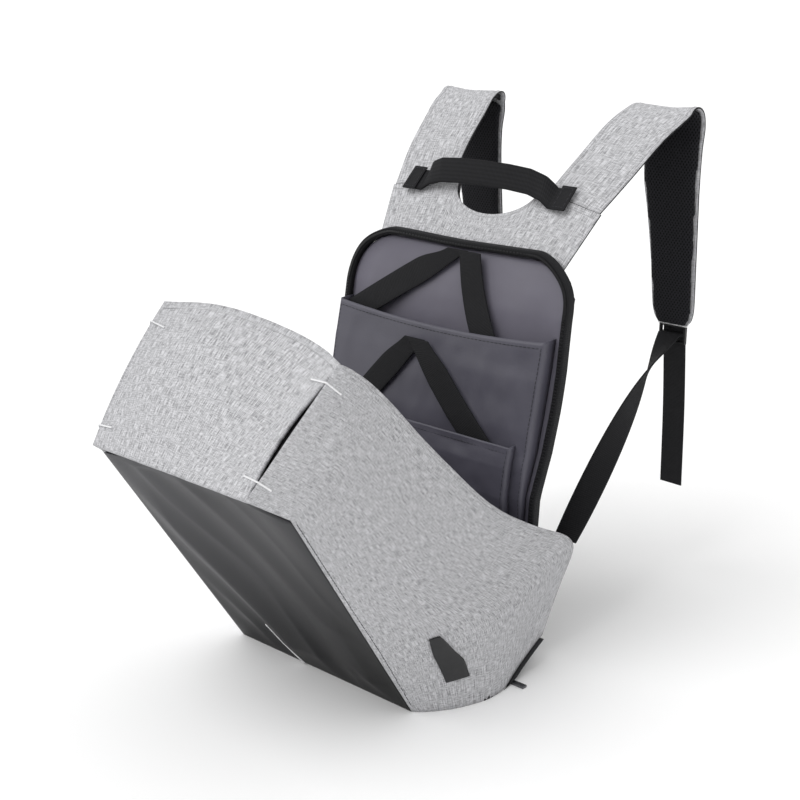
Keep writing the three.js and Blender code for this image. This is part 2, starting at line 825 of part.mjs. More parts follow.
function buildHandle() {
  const run = strapCurve.getTangent(0);
  const lift = run.clone().cross(acrossX).negate().normalize();
  const foot = strapStart.clone().addScaledVector(lift, 4 * seamGap);
  const slope = vec(0, run.y, run.z).normalize();
  const upright = vec(0, 0.12, 1).normalize();
  const halfLength = strapOut + handleEnd;
  const count = 22;
  const stations = [];
  for (let step = 0; step <= count; step += 1) {
    const out = 2 * step / count - 1;
    const share = lookUp(handleRows, 'out', 'lift', Math.abs(out));
    stations.push({
      centre: vec(halfLength * out, foot.y - handleLift * share / 3, foot.z + handleLift * share),
      across: mix(slope, upright, share),
      half: handleHeight / 2,
    });
  }
  addPart('handle', ribbon(stations, handleWall, 2).translate(handleShift, 0, 0), colours.webbing, 0.7);
  const high = foot.clone().addScaledVector(lift, handleWall + seamGap + webbingWall);
  const tab = [-1, -0.5, 0, 0.5, 1].map((share) => ({
    centre: high.clone().addScaledVector(slope, share * tabHeight / 2),
    across: acrossX,
    half: tabWidth / 2,
  }));
  const tabBody = ribbon(tab, webbingWall, 1);
  addPart('handle_tab_right', tabBody.clone().translate(handleShift, 0, 0), colours.webbing, 0.7);
  addPart('handle_tab_left', mirrored(tabBody).translate(handleShift, 0, 0), colours.webbing, 0.7);
}

// Webbing runs from the strap's adjuster down to the corner of the side panel, with half a twist,
// and its tail hangs from the adjuster
function webbingAt(sway) {
  const tip = strapCurve.getPoint(1);
  tip.x -= sway;
  const wing = vec(halfBack - webbingWidth / 2, shellDepth + 2 * seamGap, rimHeight * 0.317);
  const top = vec(tip.x - 2, tip.y - adjusterWall / 2 - 2 * seamGap, tip.z - adjusterHeight / 2);
  const middle = mix(top, wing, 0.35);
  middle.z += 3;
  const tailTop = vec(tip.x, tip.y + adjusterWall / 2 + seamGap + webbingWall, tip.z - 2);
  const tailEnd = vec(tip.x - 3, tailTop.y + 18, tip.z - tailLength);
  const tailMiddle = mix(tailTop, tailEnd, 0.5);
  tailMiddle.y += 2;
  return {
    lower_webbing: ribbon(twistedStations([top, middle, wing], 24, acrossX, Math.PI), webbingWall, 1),
    tail_webbing: ribbon(twistedStations([tailTop, tailMiddle, tailEnd], 8, acrossX, 0), webbingWall, 1),
    adjuster: adjusterFrame(vec(tip.x, tip.y, tip.z - seamGap - adjusterHeight / 2)),
  };
}

function buildWebbing() {
  for (const [name, geometry] of Object.entries(webbingAt(0))) {
    addPart(`${name}_right`, geometry, colours.webbing, 0.6);
  }
  for (const [name, geometry] of Object.entries(webbingAt(leftSway))) {
    addPart(`${name}_left`, mirrored(geometry), colours.webbing, 0.6);
  }
}

// A rectangular frame with a bar across its middle
function adjusterFrame(centre) {
  const box = (left, low, right, high, path) => {
    path.moveTo(left, low);
    path.lineTo(right, low);
    path.lineTo(right, high);
    path.lineTo(left, high);
    path.closePath();
    return path;
  };
  const halfWidth = adjusterWidth / 2;
  const halfHeight = adjusterHeight / 2;
  const shape = box(-halfWidth, -halfHeight, halfWidth, halfHeight, new THREE.Shape());
  const slotWidth = halfWidth - adjusterBar / 2;
  const slotLow = adjusterBar / 3;
  const slotHigh = halfHeight - adjusterBar / 2;
  shape.holes.push(box(-slotWidth, slotLow, slotWidth, slotHigh, new THREE.Path()));
  shape.holes.push(box(-slotWidth, -slotHigh, slotWidth, -slotLow, new THREE.Path()));
  const geometry = new THREE.ExtrudeGeometry(shape, { depth: adjusterWall, bevelEnabled: false });
  geometry.deleteAttribute('normal');
  geometry.deleteAttribute('uv');
  geometry.rotateX(Math.PI / 2);
  geometry.translate(centre.x, centre.y + adjusterWall / 2, centre.z);
  const frame = mergeVertices(geometry);
  frame.computeVertexNormals();
  return frame;
}

// A strip of webbing that hangs in front of a backing, from one place to another
function strapOver(from, to, backing) {
  const across = vec(to.z - from.z, 0, from.x - to.x).setLength(webbingWidth / 2);
  const face = (depth) => gridOf((u, v) => {
    const point = mix(from, to, v).addScaledVector(across, 2 * u - 1);
    point.y = backing(point.z) + depth;
    return point;
  }, 1, 12);
  return solidBetween(face(0), face(webbingWall));
}

// Two pairs of webbing: one holds what stands in the laptop pocket, one what stands in the small pocket
function buildHoldingStraps() {
  const bandRoom = bandSolid(-seamGap, bandWall + seamGap, 4 * seamGap);
  const high = backTop - 10;
  const low = pocketTop - holdDrop;
  const highDepth = liningFront(high) - webbingWall - 2 * seamGap;
  const lowDepth = pocketFront(low) + pocketWall + 6;
  const hanging = (z) => Math.min(lowDepth + (highDepth - lowDepth) * (z - low) / (high - low),
    liningFront(z) - webbingWall - 2 * seamGap);
  const layer = webbingWall + 2 * seamGap;
  const top = vec(holdTop, 0, high);
  const add = (name, from, to, backing) => {
    addPart(name, cutBy(strapOver(from, to, backing), [bandRoom]), colours.webbing, 0.6);
  };
  add('upper_webbing_left', top, vec(holdLeft, 0, low + 8), hanging);
  add('upper_webbing_right', top, vec(holdRight, 0, low), (z) => hanging(z) - layer);
  const apex = vec(frontApex, 0, pocketTop - apexDrop);
  const end = smallTop - 20;
  const onPocket = (z) => pocketFront(z) - webbingWall - 7 * seamGap;
  add('front_webbing_left', apex, vec(frontLeft, 0, end), onPocket);
  add('front_webbing_right', apex, vec(frontRight, 0, end), (z) => onPocket(z) - layer);
}

// Outline of the cable patch as shares across and up the side panel
const patchRows = [
  { v: 0.06, from: 0.235, to: 0.35 },
  { v: 0.115, from: 0.218, to: 0.315 },
  { v: 0.165, from: 0.208, to: 0.285 },
  { v: 0.185, from: 0.208, to: 0.275 },
  { v: 0.23, from: 0.218, to: 0.26 },
];
// The bright strip on the front panel, as shares across and up it
const stripRows = [
  { v: 0.012, u: 0.4 },
  { v: 0.101, u: 0.35 },
  { v: 0.206, u: 0.308 },
];
// Bar tacks across the slit: a place on the cap, on the ridge of the side panel, and on the side panel
const tackRows = [
  { name: 'upper_tack', cap: [0.87, 0.82], ridge: [0.86, 1], side: [0.835, 0.93] },
  { name: 'lower_tack', cap: [0.91, 0.145], ridge: [0.14, 1], side: [0.125, 0.95] },
];

function buildTrim() {
  const side = withDepth(sideSurface);
  const patch = (u, v, depth) => {
    const height = patchRows[0].v + (patchRows[patchRows.length - 1].v - patchRows[0].v) * v;
    const from = lookUp(patchRows, 'v', 'from', height);
    const to = lookUp(patchRows, 'v', 'to', height);
    return side(from + (to - from) * u, height, depth);
  };
  addPart('cable_patch', plateOn(patch, 4, 8, -2 * seamGap - trimWall, -2 * seamGap), colours.webbing, 0.6);
  const front = withDepth(frontSurface);
  const strip = (u, v, depth) => {
    const height = stripRows[0].v + (stripRows[stripRows.length - 1].v - stripRows[0].v) * v;
    const place = lookUp(stripRows, 'v', 'u', height);
    return front(place + (u - 0.5) * stripWidth / (2 * halfFront), height, depth);
  };
  addPart('bright_strip', plateOn(strip, 1, 8, -2 * seamGap - trimWall, -2 * seamGap), colours.trim, 0.3);
  for (const row of tackRows) {
    const places = [capSurface(...row.cap), sideSurface(...row.ridge), sideSurface(...row.side)];
    for (const [sideName, turn] of [['right', (point) => point], ['left', (point) => settled(flip(point))]]) {
      const turned = places.map((point) => turn(point.clone()));
      const away = turned[1].clone().sub(mix(turned[0], turned[2], 0.5)).normalize();
      const length = turned[2].clone().sub(turned[0]);
      const stations = turned.map((centre) => ({
        centre: centre.addScaledVector(away, 3 * trimWall),
        across: length.clone().cross(away),
        half: tackWidth / 2,
      }));
      addPart(`${row.name}_${sideName}`, ribbon(stations, trimWall, 1), colours.trim, 0.7);
    }
  }
  const pull = new THREE.BoxGeometry(pullLength, pullWidth, pullWall);
  pull.translate(halfBack + 3 + pullLength / 2, shellDepth / 2, pullWall * 0.6);
  addPart('zip_pull', pull, colours.metal, 0.4, 0.9);
}

buildShell();
buildBack();
buildPockets();
buildStraps();
buildHandle();
buildWebbing();
buildHoldingStraps();
buildTrim();

export default group;
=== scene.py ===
import math

import bmesh
import bpy
from mathutils import Matrix, Vector, noise


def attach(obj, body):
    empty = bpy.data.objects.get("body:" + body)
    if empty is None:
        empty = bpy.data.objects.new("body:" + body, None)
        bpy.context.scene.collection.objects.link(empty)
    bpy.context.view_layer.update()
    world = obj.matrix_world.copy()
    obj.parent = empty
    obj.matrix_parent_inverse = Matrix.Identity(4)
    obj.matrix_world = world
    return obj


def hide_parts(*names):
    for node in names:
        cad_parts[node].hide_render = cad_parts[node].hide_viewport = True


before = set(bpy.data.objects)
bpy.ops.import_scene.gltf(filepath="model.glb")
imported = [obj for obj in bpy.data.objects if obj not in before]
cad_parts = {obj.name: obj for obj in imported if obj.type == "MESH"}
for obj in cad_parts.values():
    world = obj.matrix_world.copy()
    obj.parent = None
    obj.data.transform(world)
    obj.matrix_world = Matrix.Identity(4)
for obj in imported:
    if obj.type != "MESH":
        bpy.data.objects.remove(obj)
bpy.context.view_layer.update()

bl_info = {
    "name": "Clamshell backpack",
    "version": (1, 0, 0),
    "blender": (4, 5, 0),
    "location": "View3D > Sidebar > Bag",
    "description": "Cloth, padding, webbing and stitches of a backpack that stands open",
    "category": "Add Mesh",
}

# Places are worked out in millimetres from the front edge of the base, and the model's frame has its
# origin in the middle of the base
MM = 0.001
BASE_CENTRE = 55

# The shell
HALF_FRONT = 117
HALF_BACK = 150
HALF_CAP = 124
SHELL_DEPTH = 212
FRONT_LEAN = 157
FRONT_RISE = 247
RIM_HEIGHT = 380
SIDE_BULGE = 7
FRONT_SAG = 7
FRONT_SLACK = 8
BASE_EDGE = 3.5
CAP_REACH = 27
CAP_LIFT = 18
CAP_TUCK = 24
CAP_CROWN = 7
SLIT_OPEN = 8
LEFT_SLIT_OPEN = 3
TUCK_UNDER = 21
TUCK_NARROW = 29
CORNER_PINCH = 0.2
CORNER_BACK = 22
CORNER_LIFT = 13
SHELL_WALL = 3.5
LINING_INSET = SHELL_WALL + 1
INNER_WALL = 0.8

# The back and what is on it
HALF_BAND = 146
BAND_WALL = 8
BAND_PROUD = 6
BAND_WAVE = 3
BAND_BOTTOM = 122
BACK_TOP = 404
BACK_BOTTOM = 36
BACK_CORNER = 58
BOARD_WALL = 4
PAD_WALL = 8
PAD_INSET = 3
LINING_WALL = 1.2
LINING_SLACK = 3
CLEAR = 0.32
POCKET_TOP = 327
POCKET_BOTTOM = 118
POCKET_DEPTH = 20
POCKET_SIDE = 11.3
POCKET_HALF = HALF_BAND - POCKET_SIDE
POCKET_SHIFT = -2.7
POCKET_SAG = 7
HOLD_DROP = 22
FRONT_TUCK = 20
SMALL_TOP = 226
SMALL_BOTTOM = 132
SMALL_HALF = 118
SMALL_DEPTH = 10
POCKET_WALL = 1.6
HOLD_TOP = 7
HOLD_LEFT = -125
HOLD_RIGHT = 62
FRONT_APEX = -21
FRONT_LEFT = -104
FRONT_RIGHT = 92

# Yoke, straps, handle and webbing
HALF_YOKE = 120
YOKE_FLARE = 14
YOKE_RISE = 44
YOKE_REACH = 40
YOKE_SINK = 6
YOKE_SINK_BACK = 6.2
NECK_HALF = 52
NECK_DIP = 27
STRAP_OUT = 97
STRAP_WIDTH = 76
STRAP_COVER = 1.6
STRAP_PAD = 5
STRAP_REACH = 145
STRAP_CLIMB = 86
STRAP_SPLAY = 36
STRAP_LEAN = 0.16
LEFT_SWAY = 12
HANDLE_END = 6
HANDLE_SHIFT = -9
HANDLE_HEIGHT = 26
HANDLE_WALL = 3
HANDLE_LIFT = 18
TAB_WIDTH = 17
TAB_HEIGHT = 30
WEBBING_WIDTH = 27
WEBBING_WALL = 1.6
TAIL_LENGTH = 190
ADJUSTER_HEIGHT = 20
ADJUSTER_WALL = 4
STRIP_WIDTH = 3
TRIM_WALL = 1
TRIM_LIFT = 1.2
TACK_WIDTH = 1.9
TACK_PITCH = 0.75
TACK_LIFT = 1.4
TOOTH_PITCH = 2.4
TOOTH_SIZE = (2.6, 1.2, 1.3)

# Cut sizes of the cloths, across and along. They set the scale of each weave.
SIDE_CLOTH = (330, 380)
FRONT_CLOTH = (240, 300)
BASE_CLOTH = (290, 180)
CAP_CLOTH = (260, 160)
LINING_CLOTH = (276, 360)
PAD_CLOTH = (270, 440)
YOKE_CLOTH = (240, 50)
BAND_LENGTH = 830
STRAP_LENGTH = 390
HANDLE_LENGTH = 210
LOWER_LENGTH = 270

# How padding is blown up
AIR_PRESSURE = 4
AIR_FRAMES = 20

# The studio: places in metres and turns in degrees
CAMERA_PLACE = (0.8800, -0.9304, 0.6909)
CAMERA_TURN = (71.81, 0, 41.63)
CAMERA_LENS = 63
CAMERA_SENSOR = 36
ROOM_LIGHT = 0.76
SUN_LIGHT = 1.5
SUN_SPREAD = 50
SUN_WAY = Vector((0.3, 0.55, -0.85))
FLOOR_HALF = 60

# Rows of the side panel's edges: flare from the front's half width to the back's, back as a share of
# the shell's depth, up as a share of the rim's height
SIDE_BOTTOM = (
    (0, 0, 0), (0.5, 0.066, 0), (1.09, 0.222, 0), (1.3, 0.387, 0),
    (1.06, 0.514, 0.012), (1, 0.623, 0.042), (1, 0.76, 0.079),
)
SIDE_REAR = (
    (1, 0.76, 0.079), (1, 0.906, 0.216), (1, 0.986, 0.26), (1, 1, 0.316), (1, 0.783, 0.371),
    (1, 0.538, 0.445), (1, 0.387, 0.5), (1, 0.245, 0.563), (1, 0.066, 0.66), (1, -0.085, 0.74),
    (1, -0.203, 0.808), (0.88, -0.33, 0.892), (0.61, -0.448, 0.955), (0.364, -0.49, 0.968),
)
SEAM_SHARES = (0, 0.16, 0.24, 0.34, 0.44, 0.54, 0.62, 0.7, 0.78, 0.86, 0.93, 1, 1, 1)
TURN_SHARES = (0, 0, 0, 0, 0, 0, 0, 0, 0, 0, 0, 0, 0.5, 1)
# Rows of the rim over the cap: out as a share of the back's half width, back and up as above
CAP_RIM = (
    (0.86, -0.49, 0.968), (0.76, -0.445, 0.97), (0.6, -0.405, 0.98), (0.3, -0.37, 0.993), (0, -0.354, 1),
)

# Rows of the back's profile: up as a share of the back's height, back as a share of the shell's depth
BACK_ROWS = (
    (0.055, 0.804), (0.09, 0.818), (0.149, 0.811), (0.248, 0.788), (0.347, 0.769), (0.436, 0.784),
    (0.542, 0.863), (0.644, 0.912), (0.738, 0.953), (0.854, 0.99), (1, 1.066),
)
# The same where the pad rolls under the bag
ROLL_ROWS = ((0.002, 0.557), (0, 0.623), (0.005, 0.698), (0.025, 0.769), (0.055, 0.804))
# Rows of the pockets' profiles: height, and depth in front of the lining, as shares
POCKET_ROWS = ((0, 0.14), (0.12, 0.32), (0.28, 0.5), (0.42, 0.85), (0.58, 1), (0.82, 1.05), (1, 0.95))
SMALL_ROWS = ((0, 0.3), (0.15, 0.9), (0.4, 1), (0.7, 1), (1, 1))

# Rows of a strap: splay, back, up and width as shares of the named sizes
STRAP_ROWS = (
    (0, 0, 0, 0.95), (0.31, 0.248, 0.384, 0.985), (0.53, 0.503, 0.733, 1.01), (0.75, 0.66, 0.915, 1.005),
    (0.86, 0.77, 1, 0.99), (0.94, 0.84, 0.95, 0.96), (0.98, 0.866, 0.78, 0.93), (1, 0.855, 0.5, 0.89),
    (1, 0.865, 0.1, 0.86), (1, 0.905, -0.302, 0.79), (1, 0.952, -0.849, 0.72), (1, 0.99, -1.43, 0.67),
    (1, 1, -1.6, 0.6), (1, 1.003, -1.7, 0.46),
)
# Rows of the handle: how high it stands as a share of its lift, by its distance from its middle
HANDLE_ROWS = ((0, 1), (0.3, 0.97), (0.55, 0.85), (0.7, 0.55), (0.8, 0), (1, 0))
# Rows of the patch and of the bright strip: height up the panel, and places across it, as shares
PATCH_ROWS = ((0.06, 0.235, 0.335), (0.115, 0.218, 0.315), (0.165, 0.208, 0.285), (0.185, 0.208, 0.275),
              (0.23, 0.218, 0.26))
STRIP_ROWS = ((0.012, 0.4), (0.101, 0.35), (0.206, 0.308))
# Corners of the stitches that hold a handle tab
TAB_STITCHES = ((0.15, 0.1), (0.85, 0.1), (0.85, 0.9), (0.15, 0.9), (0.15, 0.1))
# Bar tacks across the slit: places on the cap, on the ridge of the side panel, and on the side panel
TACK_ROWS = (
    ("upper_tack", (0.87, 0.82), (0.86, 1), (0.835, 0.93)),
    ("lower_tack", (0.91, 0.145), (0.14, 1), (0.125, 0.95)),
)

FRONT_CORNER = Vector((HALF_FRONT, 0, 0))
SEAM_TOP = Vector((HALF_CAP, -FRONT_LEAN, FRONT_RISE))
SLIT_BOTTOM = Vector((HALF_CAP - CAP_TUCK, -FRONT_LEAN - CAP_REACH, FRONT_RISE + CAP_LIFT))
ACROSS = Vector((1, 0, 0))


def flip(point):
    return Vector((-point.x, point.y, point.z))


def between(low, high, value):
    return min(max((value - low) / (high - low), 0), 1)


def smooth(low, high, value):
    share = between(low, high, value)
    return share * share * (3 - 2 * share)


def table_at(rows, value, column=1):
    """Reads a column of a table of rows at a value of its first column."""
    row = 0
    while row < len(rows) - 2 and rows[row + 1][0] < value:
        row += 1
    share = between(rows[row][0], rows[row + 1][0], value)
    return rows[row][column] + (rows[row + 1][column] - rows[row][column]) * share


def straight(points, share):
    """A point on straight lines between points."""
    place = min(max(share, 0), 1) * (len(points) - 1)
    index = min(int(place), len(points) - 2)
    return points[index].lerp(points[index + 1], place - index)


def eased(points, share):
    """A point on straight lines between points, with the corners eased."""
    reach = min(0.6 / (len(points) - 1), share, 1 - share)
    around = [straight(points, share + reach * step) for step in (-1, -0.6, -0.2, 0.2, 0.6, 1)]
    return sum(around, Vector()) / len(around)


def curved(points, share):
    """A point on a smooth curve through points."""
    last = len(points) - 1
    place = min(max(share, 0), 1) * last
    index = min(int(place), last - 1)
    t = place - index
    start, end = points[index], points[index + 1]
    before = points[index - 1] if index > 0 else start * 2 - end
    after = points[index + 2] if index + 2 <= last else end * 2 - start
    return 0.5 * ((2 * start) + (end - before) * t + (2 * before - 5 * start + 4 * end - after) * t ** 2
                  + (3 * start - before - 3 * end + after) * t ** 3)


def shell_point(row):
    flare, back, up = row
    return Vector((HALF_FRONT + (HALF_BACK - HALF_FRONT) * flare, SHELL_DEPTH * back, RIM_HEIGHT * up))


SIDE_BOTTOM_POINTS = [shell_point(row) for row in SIDE_BOTTOM]
SIDE_REAR_POINTS = [shell_point(row) for row in SIDE_REAR]
SLIT_TOP = SIDE_REAR_POINTS[-1]
SIDE_FRONT_POINTS = [
    FRONT_CORNER.lerp(SEAM_TOP, share).lerp(SLIT_BOTTOM, turn)
    for share, turn in zip(SEAM_SHARES, TURN_SHARES)
]


def settled(point):
    """The cap's left corner stands higher and further back, as soft cloth does."""
    if point.x > 0:
        return point
    share = between(FRONT_RISE, RIM_HEIGHT, point.z)
    pushed = share * share
    out = abs(point.x) / HALF_BACK
    return Vector((point.x * (1 - CORNER_PINCH * pushed), point.y + CORNER_BACK * pushed * out,
                   point.z + CORNER_LIFT * pushed * out))


def side_surface(u, v):
    near = eased(SIDE_BOTTOM_POINTS, u)
    far = SLIT_BOTTOM.lerp(SLIT_TOP, u)
    left = straight(SIDE_FRONT_POINTS, v)
    right = eased(SIDE_REAR_POINTS, v)
    corners = SIDE_BOTTOM_POINTS[0].lerp(SIDE_BOTTOM_POINTS[-1], u).lerp(far, v)
    point = near.lerp(far, v) + left.lerp(right, u) - corners
    point.x += SIDE_BULGE * math.sin(math.pi * u) * math.sin(math.pi * v)
    return point


def left_side_surface(u, v):
    return settled(flip(side_surface(u, v)))


def front_surface(u, v):
    right = FRONT_CORNER.lerp(SEAM_TOP, v) if v <= 1 else SEAM_TOP + (SEAM_TOP - FRONT_CORNER) * (v - 1)
    point = flip(right).lerp(right, u)
    point.y += FRONT_SAG * math.sin(math.pi * u) * math.sin(math.pi * min(v, 1))
    if v > 1:
        point.x *= 1 - TUCK_NARROW / HALF_CAP
    return point


FRONT_FULL = 1 + TUCK_UNDER / (SEAM_TOP - FRONT_CORNER).length


def front_and_tuck(u, v):
    """The front up to its top edge, and then the narrower part that goes up behind the cap."""
    full = v * FRONT_FULL
    point = front_surface(u, min(full, 1))
    point.x *= 1 - TUCK_NARROW / HALF_CAP * smooth(0.993, 1.004, full)
    return point + Vector((0, SEAM_TOP.y, SEAM_TOP.z)) * max(full - 1, 0)


def front_creases(u, v):
    """Soft slanting folds in the front's cloth, outwards in millimetres."""
    edge = min(1, 8 * u * (1 - u)) * min(1, 10 * v * (1 - v))
    slanted = noise.noise(Vector((u * 3.1 + v * 1.5, u * 0.8 - v * 0.9, 4.0)))
    ridge = 1 - 2 * abs(noise.noise(Vector((u * 4.2 + v * 2.4, v * 1.3 - u, 9.0))))
    return edge * (FRONT_SLACK * slanted + FRONT_SLACK / 3 * ridge)


def base_surface(u, v):
    right = eased(SIDE_BOTTOM_POINTS, v)
    return flip(right).lerp(right, u)


def cap_surface(u, v):
    across = 2 * u - 1
    rows = [Vector((HALF_BACK * out, SHELL_DEPTH * back, RIM_HEIGHT * up)) for out, back, up in CAP_RIM]
    rim = eased(rows, 1 - abs(across))
    low = Vector((SLIT_BOTTOM.x * abs(across), SLIT_BOTTOM.y, SLIT_BOTTOM.z))
    point = low.lerp(rim, v)
    away = Vector((0, SLIT_BOTTOM.z - SLIT_TOP.z, SLIT_TOP.y - SLIT_BOTTOM.y)).normalized()
    point += away * CAP_CROWN * math.cos(math.pi * across / 2) * math.sin(math.pi * v)
    slit_open = SLIT_OPEN if across > 0 else LEFT_SLIT_OPEN
    point.x -= slit_open * math.sin(math.pi * v) * abs(across) ** 6
    return settled(flip(point) if across < 0 else point)


def back_face(z):
    return SHELL_DEPTH * table_at(BACK_ROWS, z / BACK_TOP)


def lining_front(z):
    return back_face(z) - PAD_WALL - BOARD_WALL - 2 * CLEAR - LINING_WALL


def half_width(z, inset):
    """Half the back's width at a height, that much inside its edge: the top corners are round."""
    past = max(z - (BACK_TOP - BACK_CORNER), 0)
    round_part = math.sqrt(max((BACK_CORNER - inset) ** 2 - past ** 2, 0))
    return HALF_BAND - BACK_CORNER + round_part if past else HALF_BAND - inset


def pocket_front(z):
    share = (z - POCKET_BOTTOM) / (POCKET_TOP - POCKET_BOTTOM)
    return lining_front(z) - POCKET_DEPTH * table_at(POCKET_ROWS, share)


STRAP_START = Vector((STRAP_OUT, SHELL_DEPTH + YOKE_REACH + 10, BACK_TOP - 3 + YOKE_RISE))
STRAP_POINTS = [
    Vector((STRAP_START.x + STRAP_SPLAY * splay, STRAP_START.y + STRAP_REACH * back,
            STRAP_START.z + STRAP_CLIMB * up))
    for splay, back, up, wide in STRAP_ROWS
]


def tangent(points, share):
    step = 0.002
    return (curved(points, min(share + step, 1)) - curved(points, max(share - step, 0))).normalized()


def strap_frame(share, sway):
    """Centre, direction across, and the direction out of the strap's grey face, at a share of its run."""
    forward = tangent(STRAP_POINTS, share)
    across = (ACROSS - forward * forward.x).normalized()
    centre = curved(STRAP_POINTS, share)
    centre.x -= sway * smooth(0.1, 0.5, share)
    return centre, across, across.cross(forward)


def strap_half(share):
    place = share * (len(STRAP_ROWS) - 1)
    row = min(int(place), len(STRAP_ROWS) - 2)
    wide = STRAP_ROWS[row][3] + (STRAP_ROWS[row + 1][3] - STRAP_ROWS[row][3]) * (place - row)
    return STRAP_WIDTH * wide / 2


def yoke_top(across):
    out = abs(across) * (HALF_YOKE + YOKE_FLARE)
    open_share = min(out / NECK_HALF, 1)
    lean = STRAP_LEAN * (max(out, NECK_HALF) - STRAP_OUT)
    dip = NECK_DIP * math.sqrt(1 - open_share ** 2)
    back = STRAP_START.y - lean - dip * YOKE_REACH / YOKE_RISE - CLEAR
    return Vector((math.copysign(out, across), back, STRAP_START.z - lean - dip - CLEAR))


def yoke_surface(u, v):
    across = 2 * u - 1
    past = max(HALF_YOKE * abs(across) - (HALF_BAND - BACK_CORNER), 0)
    height = BACK_TOP - BACK_CORNER + math.sqrt(BACK_CORNER ** 2 - past ** 2)
    low = Vector((HALF_YOKE * across, back_face(height) - YOKE_SINK_BACK, height - YOKE_SINK))
    return low.lerp(yoke_top(across), v)


def handle_frame(out):
    """Centre of the handle's underside and the direction of its width, from -1 to 1 along it."""
    run = tangent(STRAP_POINTS, 0)
    lift = -run.cross(ACROSS).normalized()
    lift = lift if lift.z > 0 else -lift
    foot = STRAP_START + lift * 4 * CLEAR
    slope = Vector((0, run.y, run.z)).normalized()
    upright = Vector((0, 0.12, 1)).normalized()
    share = table_at(HANDLE_ROWS, abs(out))
    centre = Vector(((STRAP_OUT + HANDLE_END) * out + HANDLE_SHIFT, foot.y - HANDLE_LIFT * share / 3,
                     foot.z + HANDLE_LIFT * share))
    return centre, slope.lerp(upright, share).normalized(), lift


def in_frame(point):
    """Takes a point in millimetres from the base's front edge to the model's frame, in metres."""
    return Vector((point.x, point.y - BASE_CENTRE, point.z)) * MM


# Shaders

class Wire:
    """A shader value that Python can do sums with."""

    def __init__(self, tree, socket):
        self.tree = tree
        self.socket = socket

    def sum(self, operation, first, second=None):
        node = self.tree.nodes.new("ShaderNodeMath")
        node.operation = operation
        for value, place in ((first, 0), (second, 1)):
            if isinstance(value, Wire):
                self.tree.links.new(value.socket, node.inputs[place])
            elif value is not None:
                node.inputs[place].default_value = value
        return Wire(self.tree, node.outputs[0])

    def __add__(self, other):
        return self.sum("ADD", self, other)

    def __mul__(self, other):
        return self.sum("MULTIPLY", self, other)

    def __sub__(self, other):
        return self.sum("SUBTRACT", self, other)

    def __rsub__(self, other):
        return self.sum("SUBTRACT", other, self)

    __radd__ = __add__
    __rmul__ = __mul__

    def sine(self):
        return self.sum("SINE", self)

    def size(self):
        return self.sum("ABSOLUTE", self)


class Finish:
    """A material and the way to add nodes to it."""

    def __init__(self, name, **constants):
        self.material = bpy.data.materials.new(name)
        self.material.use_nodes = True
        self.tree = self.material.node_tree
        self.surface = self.tree.nodes["Principled BSDF"]
        for socket, value in constants.items():
            self.surface.inputs[socket.replace("_", " ")].default_value = value

    def node(self, kind, settings=None, output=0, **sockets):
        node = self.tree.nodes.new(kind)
        for setting, value in (settings or {}).items():
            if setting == "stops":
                for stop, (place, level) in zip(node.color_ramp.elements, value):
                    stop.position = place
                    stop.color = (level, level, level, 1)
            else:
                setattr(node, setting, value)
        for socket, value in sockets.items():
            self.feed(node.inputs[socket], value)
        return Wire(self.tree, node.outputs[output])

    def feed(self, socket, value):
        if isinstance(value, Wire):
            self.tree.links.new(value.socket, socket)
        else:
            socket.default_value = value

    def cloth_place(self, scale=(1, 1, 1)):
        """The place on the cloth, in metres along its threads, times a scale."""
        place = self.node("ShaderNodeUVMap", {"uv_map": "Cloth"})
        return self.node("ShaderNodeMapping", Vector=place, Scale=scale)

    def axes(self, place):
        """The three numbers of a place."""
        split = self.node("ShaderNodeSeparateXYZ", Vector=place).socket.node
        return [Wire(self.tree, output) for output in split.outputs]

    def object_place(self):
        return self.node("ShaderNodeTexCoord", output=3)

    def speckle(self, scale, detail=2.0):
        return self.node("ShaderNodeTexNoise", Vector=self.cloth_place(scale), Scale=1.0, Detail=detail)

    def shade(self, share, low, high):
        blend = self.tree.nodes.new("ShaderNodeMix")
        blend.data_type = "RGBA"
        self.feed(blend.inputs[0], share)
        blend.inputs[6].default_value = low
        blend.inputs[7].default_value = high
        return Wire(self.tree, blend.outputs[2])

    def colour(self, value):
        self.feed(self.surface.inputs["Base Color"], value)

    def rough(self, value):
        self.feed(self.surface.inputs["Roughness"], value)

    def bump(self, height, distance, strength=1.0):
        bumped = self.node("ShaderNodeBump", Height=height, Distance=distance, Strength=strength)
        self.feed(self.surface.inputs["Normal"], bumped)


def tone(colour, factor):
    return tuple(min(part * factor, 1) for part in colour[:3]) + (1,)


def melange_finish(colours):
    """Plain weave of light and dark threads with long slubs along both thread directions."""
    finish = Finish("melange", Roughness=0.92, Specular_IOR_Level=0.2)
    along = finish.speckle((1100, 110, 1))
    across = finish.speckle((135, 1100, 1))
    fine = finish.speckle((1600, 1600, 1))
    broad = finish.speckle((9, 9, 1))
    mixed = along * 0.5 + across * 0.3 + fine * 0.2
    ramp = finish.node("ShaderNodeValToRGB", {"stops": ((0.4, 0.0), (0.58, 1.0))}, Fac=mixed)
    share = ramp * 0.9 + broad * 0.1
    finish.colour(finish.shade(share, tone(colours.melange, 0.44), tone(colours.melange, 1.34)))
    finish.bump(mixed, 0.0004, 0.22)
    return finish.material


